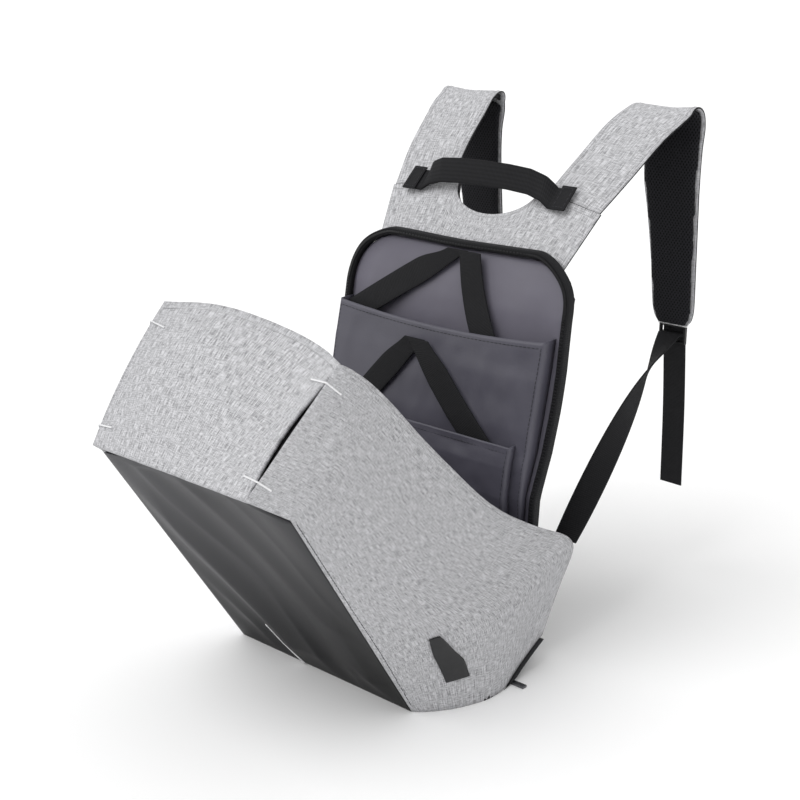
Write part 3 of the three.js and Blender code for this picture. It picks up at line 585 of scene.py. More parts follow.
def coated_finish(colours):
    """Black coated cloth with a soft sheen and a fine grain. Its colour holds painted shade and light: it
    is darkest at the lower right and lighter up towards the cap's left, as light falls on the front.
    """
    finish = Finish("coated", Specular_IOR_Level=0.14)
    grain = finish.speckle((900, 900, 1), 3.0)
    cloud = finish.speckle((9, 5, 1))
    ramp = finish.node("ShaderNodeValToRGB", {"stops": ((0.38, 0.0), (0.62, 1.0))}, Fac=cloud)
    over, run, _ = finish.axes(finish.cloth_place())
    # Painted shade and light: the colour slopes from dark at the lower right to light towards the cap's
    # left
    height = run * 3.0 - over * 2.0 + 0.3
    share = ramp * 0.12 + height * 0.88
    finish.colour(finish.shade(share, tone(colours.coated, 0.1), tone(colours.coated, 3.3)))
    finish.rough(grain * 0.14 + cloud * 0.16 + 0.3)
    finish.bump(grain, 0.0003, 0.5)
    return finish.material


def webbing_finish(colours):
    """Woven webbing with ribs across it."""
    finish = Finish("webbing", Roughness=0.65, Specular_IOR_Level=0.18)
    over, run, _ = finish.axes(finish.cloth_place())
    ribs = (run * (2 * math.pi / 0.0016)).sine()
    threads = (over * (2 * math.pi / 0.0009)).sine()
    weave = ribs * 0.6 + threads * 0.4
    finish.colour(finish.shade(weave * 0.5 + 0.5, tone(colours.webbing, 0.6), tone(colours.webbing, 1.4)))
    finish.bump(weave, 0.0003, 0.6)
    return finish.material


def mesh_finish(colours):
    """Open spacer mesh: dark holes between raised threads. It reads object coordinates, because padding
    that has been blown up has no cloth map."""
    finish = Finish("mesh", Roughness=0.85, Specular_IOR_Level=0.16)
    right, back, run = finish.axes(finish.object_place())
    over = right + back * 0.5
    pitch = 2 * math.pi / 0.0076
    first = (over * pitch + run * pitch * 0.7).sine()
    second = (over * pitch - run * pitch * 0.7).sine()
    holes = (first * second).size()
    threads = finish.node("ShaderNodeValToRGB", {"stops": ((0.28, 0.0), (0.5, 1.0))}, Fac=1 - holes)
    finish.colour(finish.shade(threads, tone(colours.mesh, 0.2), tone(colours.mesh, 3.2)))
    finish.bump(threads, 0.0009, 0.8)
    return finish.material


def satin_finish(name, colour):
    """Lining cloth with a satin face."""
    finish = Finish(name, Specular_IOR_Level=0.5)
    over, run, _ = finish.axes(finish.cloth_place())
    twill = ((over + run) * (2 * math.pi / 0.0011)).sine()
    cloud = finish.speckle((25, 25, 1))
    finish.colour(finish.shade(cloud, tone(colour, 0.85), tone(colour, 1.15)))
    finish.rough(cloud * 0.12 + 0.36)
    finish.bump(twill, 0.00012, 0.4)
    return finish.material


def plain_finish(name, colour, roughness, metallic=0.0):
    """One colour, a little uneven in its shine."""
    finish = Finish(name, Metallic=metallic, Base_Color=tone(colour, 1))
    worn = finish.node("ShaderNodeTexNoise", Vector=finish.object_place(), Scale=180.0, Detail=2.0)
    finish.rough(worn * 0.16 + (roughness - 0.08))
    return finish.material


def cloth_colour(name, description, default):
    return bpy.props.FloatVectorProperty(
        name=name, description=description, subtype="COLOR", size=3, default=default)


class BagColours(bpy.types.PropertyGroup):
    """Colours of the cloths and trim."""

    melange: cloth_colour("Melange", "Grey cloth of the shell and straps", (0.48, 0.48, 0.495))
    coated: cloth_colour("Coated cloth", "Black cloth of the front and base", (0.018, 0.018, 0.0195))
    webbing: cloth_colour("Webbing", "Webbing, handle and zip band", (0.012, 0.012, 0.0135))
    mesh: cloth_colour("Mesh", "Spacer mesh of the pads", (0.006, 0.006, 0.007))
    lining: cloth_colour("Lining", "Lining of the back", (0.125, 0.118, 0.150))
    pocket: cloth_colour("Pocket", "Pocket cloth", (0.078, 0.075, 0.098))
    trim: cloth_colour("Trim", "Bar tacks and bright strip", (0.85, 0.85, 0.86))


class BagSizes(bpy.types.PropertyGroup):
    """Sizes of the sewing that is added to the model."""

    stitch: bpy.props.FloatProperty(
        name="Stitch", description="Length of one stitch", unit="LENGTH", default=0.0032)
    thread: bpy.props.FloatProperty(
        name="Thread", description="Radius of the sewing thread", unit="LENGTH", default=0.00035)
    hem: bpy.props.FloatProperty(
        name="Hem", description="Distance of a hem's stitches from its edge", unit="LENGTH", default=0.007)
    slack: bpy.props.FloatProperty(
        name="Slack", description="Depth of the soft folds in the cloth", unit="LENGTH", default=0.0016)


MATERIALS = {}


def material(name):
    """Makes the materials once and hands them out by name."""
    if not MATERIALS:
        colours = bpy.context.scene.bag_colours
        MATERIALS["melange"] = melange_finish(colours)
        MATERIALS["coated"] = coated_finish(colours)
        MATERIALS["webbing"] = webbing_finish(colours)
        MATERIALS["mesh"] = mesh_finish(colours)
        MATERIALS["lining"] = satin_finish("lining", colours.lining)
        MATERIALS["pocket"] = satin_finish("pocket", colours.pocket)
        MATERIALS["trim"] = plain_finish("trim", colours.trim, 0.6)
        MATERIALS["plastic"] = plain_finish("plastic", (0.008, 0.008, 0.009), 0.5)
        MATERIALS["metal"] = plain_finish("metal", (0.16, 0.16, 0.17), 0.3, 1.0)
        MATERIALS["dark thread"] = plain_finish("dark thread", (0.03, 0.03, 0.035), 0.8)
        MATERIALS["pale thread"] = plain_finish("pale thread", (0.42, 0.42, 0.43), 0.8)
    return MATERIALS[name]


# Building pieces

def put(bm, name, finish, nodes=(), shade_smooth=True):
    """Makes a finished piece from a bmesh and puts it in the scene, on the bag's body."""
    mesh = bpy.data.meshes.new(name)
    bm.to_mesh(mesh)
    bm.free()
    for face in mesh.polygons:
        face.use_smooth = shade_smooth
    mesh.materials.append(material(finish))
    piece = bpy.data.objects.new(name, mesh)
    bpy.context.scene.collection.objects.link(piece)
    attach(piece, "root")
    if nodes:
        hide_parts(*nodes)
    return piece


def grid_of(surface, columns, rows, size, turned=False, fold=None):
    """A bmesh grid laid on a surface, with its cloth map in metres and its soft folds."""
    bm = bmesh.new()
    bmesh.ops.create_grid(bm, x_segments=columns, y_segments=rows, size=0.5)
    places = [(vert.co.x + 0.5, vert.co.y + 0.5) for vert in bm.verts]
    cloth = bm.loops.layers.uv.new("Cloth")
    bm.verts.index_update()
    for face in bm.faces:
        for loop in face.loops:
            u, v = places[loop.vert.index]
            loop[cloth].uv = (u * size[0] * MM, v * size[1] * MM)
    for vert, (u, v) in zip(bm.verts, places):
        vert.co = in_frame(surface(u, v))
    if turned:
        bmesh.ops.reverse_faces(bm, faces=bm.faces)
    bm.normal_update()
    if fold:
        for vert, (u, v) in zip(bm.verts, places):
            vert.co += vert.normal * fold(u, v) * MM
        bm.normal_update()
    return bm


def thicken(piece, wall, inside=None, binding=None):
    """Gives a sheet its wall, on the inner side of its face, and the lining or edge binding it may have."""
    modifier = piece.modifiers.new("wall", "SOLIDIFY")
    modifier.thickness = wall * MM
    modifier.offset = -1
    if inside:
        piece.data.materials.append(material(inside))
        modifier.material_offset = 1
    if binding:
        piece.data.materials.append(material(binding))
        modifier.material_offset_rim = len(piece.data.materials) - 1
    return piece


def soft_folds(depth, size, seed, lean=1.0):
    """Slack in cloth: smooth noise that dies out towards the seams. lean stretches it across."""
    def fold(u, v):
        edge = min(1, 14 * u * (1 - u)) * min(1, 14 * v * (1 - v))
        place = Vector((u * size * lean, v * size, seed))
        return depth * edge * (noise.noise(place) + 0.5 * noise.noise(place * 2.3))
    return fold


def stitch_row(name, path, length, finish, lift=0.1, step=1.45, thick=1):
    """A row of stitches along a path of (place, outward direction) pairs in millimetres. step is the
    distance from stitch to stitch in stitch lengths: at 1 they join up as a cord."""
    sizes = bpy.context.scene.bag_sizes
    pitch = sizes.stitch * step / MM
    bm = bmesh.new()
    count = max(int(length / pitch), 2)
    for index in range(count):
        start, out = path(index / count)
        end, _ = path((index + sizes.stitch / MM / pitch) / count)
        run = end - start
        middle = in_frame((start + end) / 2 + out * lift)
        turn = run.to_track_quat("Z", "Y").to_matrix().to_4x4()
        bmesh.ops.create_cone(
            bm, cap_ends=True, segments=6, radius1=sizes.thread * thick, radius2=sizes.thread * thick,
            depth=run.length * MM, matrix=Matrix.Translation(middle) @ turn)
    return put(bm, name, finish)


def stitch_wraps(name, places, away, nodes):
    """A bar tack: thread wrapped across the line of its places."""
    length = (places[1] - places[0]).length + (places[2] - places[1]).length
    bm = bmesh.new()
    count = int(length / TACK_PITCH)
    for index in range(count):
        share = (index + 0.5) / count
        centre = in_frame(straight(places, share))
        run = (straight(places, min(share + 0.05, 1)) - straight(places, max(share - 0.05, 0))).normalized()
        across = run.cross(away).normalized()
        turn = Matrix((across, away, across.cross(away))).transposed().to_4x4()
        bmesh.ops.create_uvsphere(
            bm, u_segments=8, v_segments=6, radius=TACK_WIDTH / 2 * MM,
            matrix=Matrix.Translation(centre) @ turn @ Matrix.Diagonal((1, 0.45, 0.42, 1)))
    return put(bm, name, "trim", nodes)


def on_surface(surface, place, turned=False):
    """A path on a surface: place gives u and v at a share of the way."""
    step = 0.002

    def path(share):
        u, v = place(share)
        across = surface(min(u + step, 1), v) - surface(max(u - step, 0), v)
        up = surface(u, min(v + step, 1)) - surface(u, max(v - step, 0))
        out = across.cross(up).normalized()
        return surface(u, v), -out if turned else out
    return path


def inflate(piece, voxel, reach):
    """Blows a pad up with a cloth simulation. No place moves further than reach, in millimetres."""
    scene = bpy.context.scene
    remesh = piece.modifiers.new("even", "REMESH")
    remesh.mode = "VOXEL"
    remesh.voxel_size = voxel * MM
    settle(piece)
    start = [vert.co.copy() for vert in piece.data.vertices]
    cloth = piece.modifiers.new("air", "CLOTH")
    cloth.settings.quality = 4
    cloth.settings.use_pressure = True
    cloth.settings.uniform_pressure_force = AIR_PRESSURE
    cloth.settings.effector_weights.gravity = 0
    for step in range(1, AIR_FRAMES + 1):
        scene.frame_set(step)
    settle(piece)
    scene.frame_set(1)
    for vert, place in zip(piece.data.vertices, start):
        moved = vert.co - place
        if moved.length > reach * MM:
            vert.co = place + moved.normalized() * reach * MM
    finer = piece.modifiers.new("finer", "SUBSURF")
    finer.levels = 1
    finer.render_levels = 1


def settle(piece):
    """Makes a piece's mesh what its modifiers make of it, and takes them off."""
    shaped = piece.evaluated_get(bpy.context.evaluated_depsgraph_get())
    mesh = bpy.data.meshes.new_from_object(shaped)
    for face in mesh.polygons:
        face.use_smooth = True
    piece.modifiers.clear()
    piece.data = mesh


def loop_piece(name, frame_at, half_at, thick_at, size, finish, nodes, rows=60, square=0.35):
    """A padded or rounded strip: its section is a rounded oblong that closes at both ends.

    frame_at gives a centre, the direction across and the direction out at a share of its run."""
    around = 24

    def surface(u, v):
        centre, across, out = frame_at(v)
        angle = 2 * math.pi * u
        wide = math.copysign(abs(math.cos(angle)) ** square, math.cos(angle))
        deep = math.copysign(abs(math.sin(angle)) ** (2 * square), math.sin(angle))
        end = min(1, (min(v, 1 - v) * size[1] / 3) ** 0.5)
        edge = across * wide * half_at(v) * (0.97 + 0.03 * end)
        return centre + edge + out * deep * thick_at(v) / 2 * end

    bm = grid_of(surface, around, rows, (2 * size[0], size[1]))
    bmesh.ops.remove_doubles(bm, verts=bm.verts, dist=0.00002)
    bmesh.ops.recalc_face_normals(bm, faces=bm.faces)
    return put(bm, name, finish, nodes)


def ribbon_piece(name, surface, rows, size, node, turned):
    """A flat strip of webbing on a surface, with its wall and softened edges."""
    piece = put(grid_of(surface, 6, rows, size, turned), name, "webbing", [node])
    thicken(piece, WEBBING_WALL)
    edge = piece.modifiers.new("edge", "BEVEL")
    edge.width = WEBBING_WALL * 0.3 * MM
    edge.segments = 2
    edge.limit_method = "ANGLE"
    return piece


def base_edge(turn):
    """The frame and half width of the edge round the base's back, where it curves up off the floor."""
    def frame_at(share):
        place = 0.5 + 0.48 * share
        centre = eased(SIDE_BOTTOM_POINTS, place) + Vector((0.5, 0, 0))
        forward = tangent(SIDE_BOTTOM_POINTS, place)
        out = Vector((0, forward.z, -forward.y)).normalized()
        centre.x *= turn
        return centre + out * 1.5, ACROSS, out

    def half_at(share):
        return min(BASE_EDGE, frame_at(share)[0].z * 0.7)
    return frame_at, half_at


def place_on(surface, u, v):
    """A place on a surface and the direction out of it."""
    return on_surface(surface, lambda share: (u, v))(0)


def slit_lining(u, v):
    """Runs inside the cap's edge for the first half of u, and inside the side's for the rest."""
    cap_point, cap_out = place_on(cap_surface, 1 - 0.1 * max(1 - 2 * u, 0), v)
    side_point, side_out = place_on(side_surface, v, 1 - 0.06 * max(2 * u - 1, 0))
    turn = smooth(0.3, 0.7, u)
    inner = LINING_INSET * (1 + u * (1 - u))
    return cap_point.lerp(side_point, turn) - cap_out.lerp(side_out, turn) * inner


def left_slit_lining(u, v):
    return settled(flip(slit_lining(u, v)))


def seam_lining(u, v):
    """Closes the shell inside, from the front's top seam to the inside of the cap."""
    across = 2 * u - 1
    low = Vector(((HALF_CAP - 8) * across, SEAM_TOP.y + SHELL_WALL + 1.5, SEAM_TOP.z + 1))
    point, out = place_on(cap_surface, 0.03 + 0.94 * u, 0.2)
    return low.lerp(point - out * LINING_INSET * 1.3, v)


class BAG_OT_shell(bpy.types.Operator):
    """Sews the shell: two sides, front, base and cap"""

    bl_idname = "bag.shell"
    bl_label = "Shell"

    def execute(self, context):
        slack = context.scene.bag_sizes.slack / MM
        hem = context.scene.bag_sizes.hem / MM
        for side, surface, turned in (("right", side_surface, False), ("left", left_side_surface, True)):
            bm = grid_of(surface, 48, 91, SIDE_CLOTH, turned, soft_folds(slack, 3.0, len(side)))
            piece = put(bm, f"side_{side}_cloth", "melange", [f"side_panel_{side}"])
            thicken(piece, SHELL_WALL, "lining")
            rim = on_surface(surface, lambda share: (1 - hem / 300, 0.12 + 0.86 * share), turned)
            stitch_row(f"hem_{side}_stitches", rim, 430, "pale thread")
            seam = on_surface(surface, lambda share: (0.022, 0.02 + 0.8 * share), turned)
            stitch_row(f"seam_{side}_stitches", seam, 290, "dark thread")

        bm = grid_of(front_and_tuck, 80, 90, FRONT_CLOTH, False, front_creases)
        front = put(bm, "front_cloth", "coated", ["front_panel"])
        thicken(front, SHELL_WALL, "lining")
        for side, turn in (("right", 1), ("left", -1)):
            frame_at, half_at = base_edge(turn)
            loop_piece(f"base_edge_{side}", frame_at, half_at, half_at, (10, 90), "coated",
                       (), 40, 1)
        bm = grid_of(base_surface, 40, 60, BASE_CLOTH, True)
        base = put(bm, "base_cloth", "coated", ["base_panel"])
        thicken(base, SHELL_WALL, "lining")
        bm = grid_of(cap_surface, 80, 40, CAP_CLOTH, False, soft_folds(slack, 3.0, 7.0, 1.6))
        cap = put(bm, "cap_cloth", "melange", ["cap_panel"])
        thicken(cap, SHELL_WALL, "lining")
        rim = on_surface(cap_surface, lambda share: (0.02 + 0.96 * share, 1 - hem / CAP_CLOTH[1]))
        stitch_row("cap_hem_stitches", rim, CAP_CLOTH[0], "pale thread")

        bm = grid_of(seam_lining, 60, 8, (240, 40))
        thicken(put(bm, "seam_lining", "lining"), INNER_WALL)
        for side, surface in (("right", slit_lining), ("left", left_slit_lining)):
            bm = grid_of(surface, 16, 40, (30, 140), side == "left")
            thicken(put(bm, f"slit_lining_{side}", "webbing"), INNER_WALL)
        return {"FINISHED"}


class BAG_OT_back(bpy.types.Operator):
    """Makes the back: lining, mesh pad and zip band"""

    bl_idname = "bag.back"
    bl_label = "Back"

    def execute(self, context):
        inset = BAND_WALL + CLEAR
        top = BACK_TOP - inset - 0.2

        def lining_surface(u, v):
            z = BACK_BOTTOM + (top - BACK_BOTTOM) * v
            return Vector((half_width(z, inset) * (2 * u - 1), lining_front(z), z))

        def lining_folds(u, v):
            edge = min(1, 12 * u * (1 - u)) * min(1, 12 * v * (1 - v))
            streaks = noise.noise(Vector((u * 7 - v * 2.5, v * 2.2 + u, 2.0)))
            return edge * (1 + 1.6 * streaks) * LINING_SLACK / 2

        bm = grid_of(lining_surface, 70, 80, LINING_CLOTH, False, lining_folds)
        lining = put(bm, "back_lining_cloth", "lining", ["back_lining"])
        thicken(lining, LINING_WALL)

        rows = ROLL_ROWS[:-1] + BACK_ROWS[:-1]
        profile = [Vector((0, back * SHELL_DEPTH, up * BACK_TOP)) for up, back in rows]
        profile += [Vector((0, back_face(z), z)) for z in (370, 390, BACK_TOP - PAD_INSET)]

        def pad_frame(share):
            centre = curved(profile, share)
            forward = tangent(profile, share)
            out = Vector((0, forward.z, -forward.y))
            return centre - out * (PAD_WALL / 2 + 0.2), ACROSS, out

        def pad_half(share):
            return half_width(curved(profile, share).z, PAD_INSET)

        pad = loop_piece("back_pad_mesh", pad_frame, pad_half, lambda share: PAD_WALL - 0.8, PAD_CLOTH,
                         "mesh", ["back_pad"], 110, 0.12)
        inflate(pad, 4.5, 1.2)

        outline = band_outline(BAND_WALL / 2)

        def band_frame(share):
            centre = curved(outline, share)
            deep = (lining_front(centre.z) - BAND_PROUD, back_face(centre.z) - PAD_WALL - CLEAR)
            forward = tangent(outline, share)
            out = Vector((forward.z, 0, -forward.x))
            middle = Vector((centre.x, sum(deep) / 2, centre.z))
            middle += out * BAND_WAVE * noise.noise(Vector((share * 11, 2, 0)))
            return middle, Vector((0, 1, 0)), out

        def band_half(share):
            z = curved(outline, share).z
            return (back_face(z) - PAD_WALL - CLEAR - lining_front(z) + BAND_PROUD) / 2 - 0.2

        loop_piece("zip_band_tape", band_frame, band_half, lambda share: BAND_WALL - 0.6,
                   (16, BAND_LENGTH), "webbing", ["zip_band"], 160, 0.3)

        bm = bmesh.new()
        zip_length = BAND_LENGTH - 10
        tooth = Matrix.Diagonal([side * MM for side in TOOTH_SIZE]).to_4x4()
        for index in range(int(zip_length / TOOTH_PITCH)):
            share = index * TOOTH_PITCH / zip_length
            centre, across, _ = band_frame(share)
            place = in_frame(centre - across * (band_half(share) + 0.3))
            bmesh.ops.create_cube(bm, size=1, matrix=Matrix.Translation(place) @ tooth)
        put(bm, "zip_teeth", "plastic", shade_smooth=False)
        return {"FINISHED"}


def band_outline(inset):
    """The run of the zip band: up the right side, over the top and down the left."""
    radius = BACK_CORNER - inset
    corner = Vector((HALF_BAND - BACK_CORNER, 0, BACK_TOP - BACK_CORNER))
    side = [Vector((HALF_BAND - inset, 0, BAND_BOTTOM + (corner.z - BAND_BOTTOM) * step / 8))
            for step in range(8)]
    turn = [corner + Vector((math.cos(angle), 0, math.sin(angle))) * radius
            for angle in (math.pi / 2 * step / 8 for step in range(9))]
    top = [Vector((corner.x * share, 0, BACK_TOP - inset)) for share in (0.6, 0.2)]
    right = side + turn + top
    return right + [flip(point) for point in reversed(right)]


def pocket_surface(rows, half, shift, bottom, top, sag, backing, depth):
    """A pocket's front: it leaves its backing at each side, turns at two corners and runs across."""
    turn = 0.05

    def surface(u, v):
        across = 2 * u - 1
        share = math.copysign(min(abs(across) / (1 - turn), 1), across)
        proud = smooth(0, 1, (1 - abs(across)) / turn) if abs(across) > 1 - turn else 1
        z = bottom + (top - bottom) * v - sag * v ** 4 * (1 - share ** 2)
        return Vector((share * half + shift, backing(z) - 3 * CLEAR - depth * table_at(rows, v) * proud, z))
    return surface


class BAG_OT_pockets(bpy.types.Operator):
    """Sews the laptop pocket and the small pocket on the lining"""

    bl_idname = "bag.pockets"
    bl_label = "Pockets"

    def execute(self, context):
        slack = context.scene.bag_sizes.slack / MM
        large = pocket_surface(POCKET_ROWS, POCKET_HALF, POCKET_SHIFT, POCKET_BOTTOM, POCKET_TOP,
                               POCKET_SAG, lining_front, POCKET_DEPTH)
        small = pocket_surface(SMALL_ROWS, SMALL_HALF, 0, SMALL_BOTTOM, SMALL_TOP, 0,
                               lambda z: pocket_front(z) - 3 * CLEAR, SMALL_DEPTH)
        for name, node, surface, high in (("laptop", "laptop_pocket", large, POCKET_TOP - POCKET_BOTTOM),
                                          ("small", "small_pocket", small, SMALL_TOP - SMALL_BOTTOM)):
            fold = soft_folds(slack * (0.9 if name == "laptop" else 0.5), 4.0, high / 10, 2.0)
            bm = grid_of(surface, 100, 60, (270, high), False, fold)
            piece = put(bm, f"{name}_pocket_cloth", "pocket", [node])
            thicken(piece, POCKET_WALL)
            top_edge = on_surface(surface, lambda share: (0.04 + 0.92 * share, 1 - 6 / high))
            stitch_row(f"{name}_pocket_hem", top_edge, 250, "dark thread")
            for side, place in (("left", 0.035), ("right", 0.965)):
                edge = on_surface(surface, lambda share, place=place: (place, 0.03 + 0.95 * share))
                stitch_row(f"{name}_pocket_{side}_seam", edge, high, "dark thread")
        return {"FINISHED"}


def hanging_strip(start, end, backing, lift, bow):
    """A strip of webbing in front of a backing: its top end is level, where it is sewn in."""
    across = Vector((end.z - start.z, 0, start.x - end.x)).normalized() * WEBBING_WIDTH / 2
    level = Vector((-WEBBING_WIDTH / 2, 0, 0))

    def surface(u, v):
        middle = start.lerp(end, v) + Vector((bow, 0, 0)) * math.sin(math.pi * v)
        point = middle + level.lerp(across, smooth(0, 0.35, v)) * (2 * u - 1)
        return Vector((point.x, backing(point.z) - lift, point.z))
    return surface


class BAG_OT_pocket_webbing(bpy.types.Operator):
    """Hangs the two pairs of webbing in front of the lining and the laptop pocket"""

    bl_idname = "bag.pocket_webbing"
    bl_label = "Pocket webbing"

    def execute(self, context):
        high, low = BACK_TOP - 10, POCKET_TOP - HOLD_DROP
        low_depth = pocket_front(low) + POCKET_WALL + 6
        high_depth = lining_front(high) - WEBBING_WALL - 2 * CLEAR
        layer = WEBBING_WALL + 2 * CLEAR

        def hanging(z):
            line = low_depth + (high_depth - low_depth) * (z - low) / (high - low)
            return min(line, lining_front(z) - WEBBING_WALL - 2 * CLEAR - LINING_SLACK)

        def on_pocket(z):
            return pocket_front(z) - WEBBING_WALL - 7 * CLEAR

        end = SMALL_TOP - FRONT_TUCK
        strips = (
            ("upper_webbing_left", (HOLD_TOP - 7, high), (HOLD_LEFT, low + 8), hanging, 0, -3),
            ("upper_webbing_right", (HOLD_TOP + 10, high), (HOLD_RIGHT, low), hanging, layer, -6),
            ("front_webbing_left", (FRONT_APEX - 3, low), (FRONT_LEFT, end), on_pocket, 0, -3),
            ("front_webbing_right", (FRONT_APEX + 3, low), (FRONT_RIGHT, end), on_pocket, layer, -3),
        )
        for name, high_end, low_end, backing, lift, bow in strips:
            top, bottom = (Vector((x, 0, z)) for x, z in (high_end, low_end))
            surface = hanging_strip(top, bottom, backing, lift, bow)
            ribbon_piece(f"{name}_strip", surface, 40, (WEBBING_WIDTH, 120), name, True)
        return {"FINISHED"}


class BAG_OT_straps(bpy.types.Operator):
    """Makes the yoke and the two padded shoulder straps"""

    bl_idname = "bag.straps"
    bl_label = "Yoke and straps"

    def execute(self, context):
        bm = grid_of(yoke_surface, 120, 14, YOKE_CLOTH, False, soft_folds(0.5, 5.0, 3.0))
        thicken(put(bm, "yoke_cloth", "melange", ["yoke"]), STRAP_COVER, binding="webbing")
        edge = on_surface(yoke_surface, lambda share: (0.01 + 0.98 * share, 0.9))
        stitch_row("yoke_stitches", edge, 300, "pale thread")
        depth = STRAP_COVER + CLEAR

        def under(u, v):
            centre, out = place_on(yoke_surface, 0.02 + 0.96 * u, 0.16 + 0.82 * v)
            return centre - out * depth

        bm = grid_of(under, 100, 14, YOKE_CLOTH)
        yoke_pad = put(bm, "yoke_pad_mesh", "mesh", ["yoke_pad"])
        thicken(yoke_pad, STRAP_PAD)
        for side, sway, turned in (("right", 0, False), ("left", LEFT_SWAY, True)):
            turn = flip if turned else Vector

            def cover(u, v):
                centre, across, out = strap_frame(v, sway)
                edge_drop = 0.6 * abs(2 * u - 1) ** 4
                return turn(centre + across * strap_half(v) * (2 * u - 1) - out * edge_drop)

            strap_cloth = (STRAP_WIDTH, STRAP_LENGTH)
            bm = grid_of(cover, 24, 150, strap_cloth, turned, soft_folds(0.5, 5.0, 5.0, 0.4))
            piece = put(bm, f"strap_{side}_cloth", "melange", [f"strap_cover_{side}"])
            thicken(piece, STRAP_COVER, binding="webbing")

            def tip_edge(share):
                """Round the strap's end: up its outer edge, and then across its tip."""
                place = (1, 0.955 + 0.09 * share) if share < 0.5 else (2 - 2 * share, 1)
                point, out = on_surface(cover, lambda share: place, turned)(0)
                return point - out * STRAP_COVER, out

            stitch_row(f"strap_{side}_piping", tip_edge, 50, "trim", 0, 1.0, 2)

            def pad_frame(share):
                centre, across, out = strap_frame(share, sway)
                middle = centre - out * (depth + STRAP_PAD / 2 + 0.2)
                return turn(middle), turn(across), turn(out)

            pad = loop_piece(f"strap_{side}_pad", pad_frame, lambda share: strap_half(share) - 1.2,
                             lambda share: STRAP_PAD - 0.2, strap_cloth, "mesh",
                             [f"strap_pad_{side}"], 120, 0.28)
            inflate(pad, 3, 0.8)
            for edge, place in (("inner", 0.06), ("outer", 0.94)):
                path = on_surface(cover, lambda share, place=place: (place, 0.01 + 0.95 * share), turned)
                stitch_row(f"strap_{side}_stitches_{edge}", path, STRAP_LENGTH, "pale thread",
                           0.15)
        return {"FINISHED"}


class BAG_OT_handle(bpy.types.Operator):
    """Makes the grab handle and the tabs that hold its ends"""

    bl_idname = "bag.handle"
    bl_label = "Handle"

    def execute(self, context):
        def frame_at(share):
            centre, wide, _ = handle_frame(2 * share - 1)
            step = 0.004
            ahead = handle_frame(min(2 * (share + step) - 1, 1))[0]
            behind = handle_frame(max(2 * (share - step) - 1, -1))[0]
            out = (ahead - behind).normalized().cross(wide).normalized()
            out = out if out.z - out.y > 0 else -out
            return centre + out * HANDLE_WALL / 2, wide, out

        band = loop_piece("handle_band", frame_at, lambda share: HANDLE_HEIGHT / 2,
                          lambda share: HANDLE_WALL, (HANDLE_HEIGHT, HANDLE_LENGTH), "webbing",
                          ["handle"], 90, 0.2)
        run = tangent(STRAP_POINTS, 0)
        slope = Vector((0, run.y, run.z)).normalized()
        lift = handle_frame(1)[2]
        foot = STRAP_START + lift * (5 * CLEAR + HANDLE_WALL + WEBBING_WALL)
        corners = [Vector(place) for place in TAB_STITCHES]
        for side, way in (("right", 1), ("left", -1)):
            def tab(u, v):
                point = foot + slope * TAB_HEIGHT / 2 * (2 * v - 1) + ACROSS * TAB_WIDTH / 2 * (2 * u - 1)
                point.x = way * point.x + HANDLE_SHIFT
                return point

            ribbon_piece(f"handle_{side}_tab", tab, 8, (TAB_WIDTH, TAB_HEIGHT), f"handle_tab_{side}",
                         way < 0)
            path = on_surface(tab, lambda share: straight(corners, share), way < 0)
            stitch_row(f"handle_{side}_tab_stitches", path, 72, "dark thread", 0.15)
        return {"FINISHED"}


class BAG_OT_webbing(bpy.types.Operator):
    """Hangs the webbing under the straps, with its half twist and its tail"""

    bl_idname = "bag.webbing"
    bl_label = "Webbing"

    def execute(self, context):
        for side, sway, turned in (("right", 0, False), ("left", LEFT_SWAY, True)):
            turn = flip if turned else Vector
            tip = STRAP_POINTS[-1].copy()
            tip.x -= sway
            wing = Vector((HALF_BACK - WEBBING_WIDTH / 2, SHELL_DEPTH + 2 * CLEAR, RIM_HEIGHT * 0.295))
            top = Vector((tip.x - 2, tip.y - ADJUSTER_WALL / 2 - 2 * CLEAR, tip.z - ADJUSTER_HEIGHT / 2))
            middle = top.lerp(wing, 0.35) + Vector((0, 0, 3))
            lower = [top, middle, wing]
            tail_top = Vector((tip.x, tip.y + ADJUSTER_WALL / 2 + CLEAR + WEBBING_WALL, tip.z - 2))
            tail_end = Vector((tip.x - 3, tail_top.y + 18, tip.z - TAIL_LENGTH))
            tail = [tail_top, tail_top.lerp(tail_end, 0.5) + Vector((0, 2, 0)), tail_end]
            for name, points, twist, length in (("lower_webbing", lower, math.pi, LOWER_LENGTH),
                                                ("tail_webbing", tail, 0, TAIL_LENGTH)):
                def surface(u, v):
                    forward = tangent(points, v)
                    across = Matrix.Rotation(twist * v, 3, forward) @ ACROSS
                    across = (across - forward * across.dot(forward)).normalized()
                    return turn(curved(points, v) + across * WEBBING_WIDTH / 2 * (2 * u - 1))

                strip = ribbon_piece(f"{name}_{side}_strip", surface, 90, (WEBBING_WIDTH, length),
                                     f"{name}_{side}", turned)
        return {"FINISHED"}


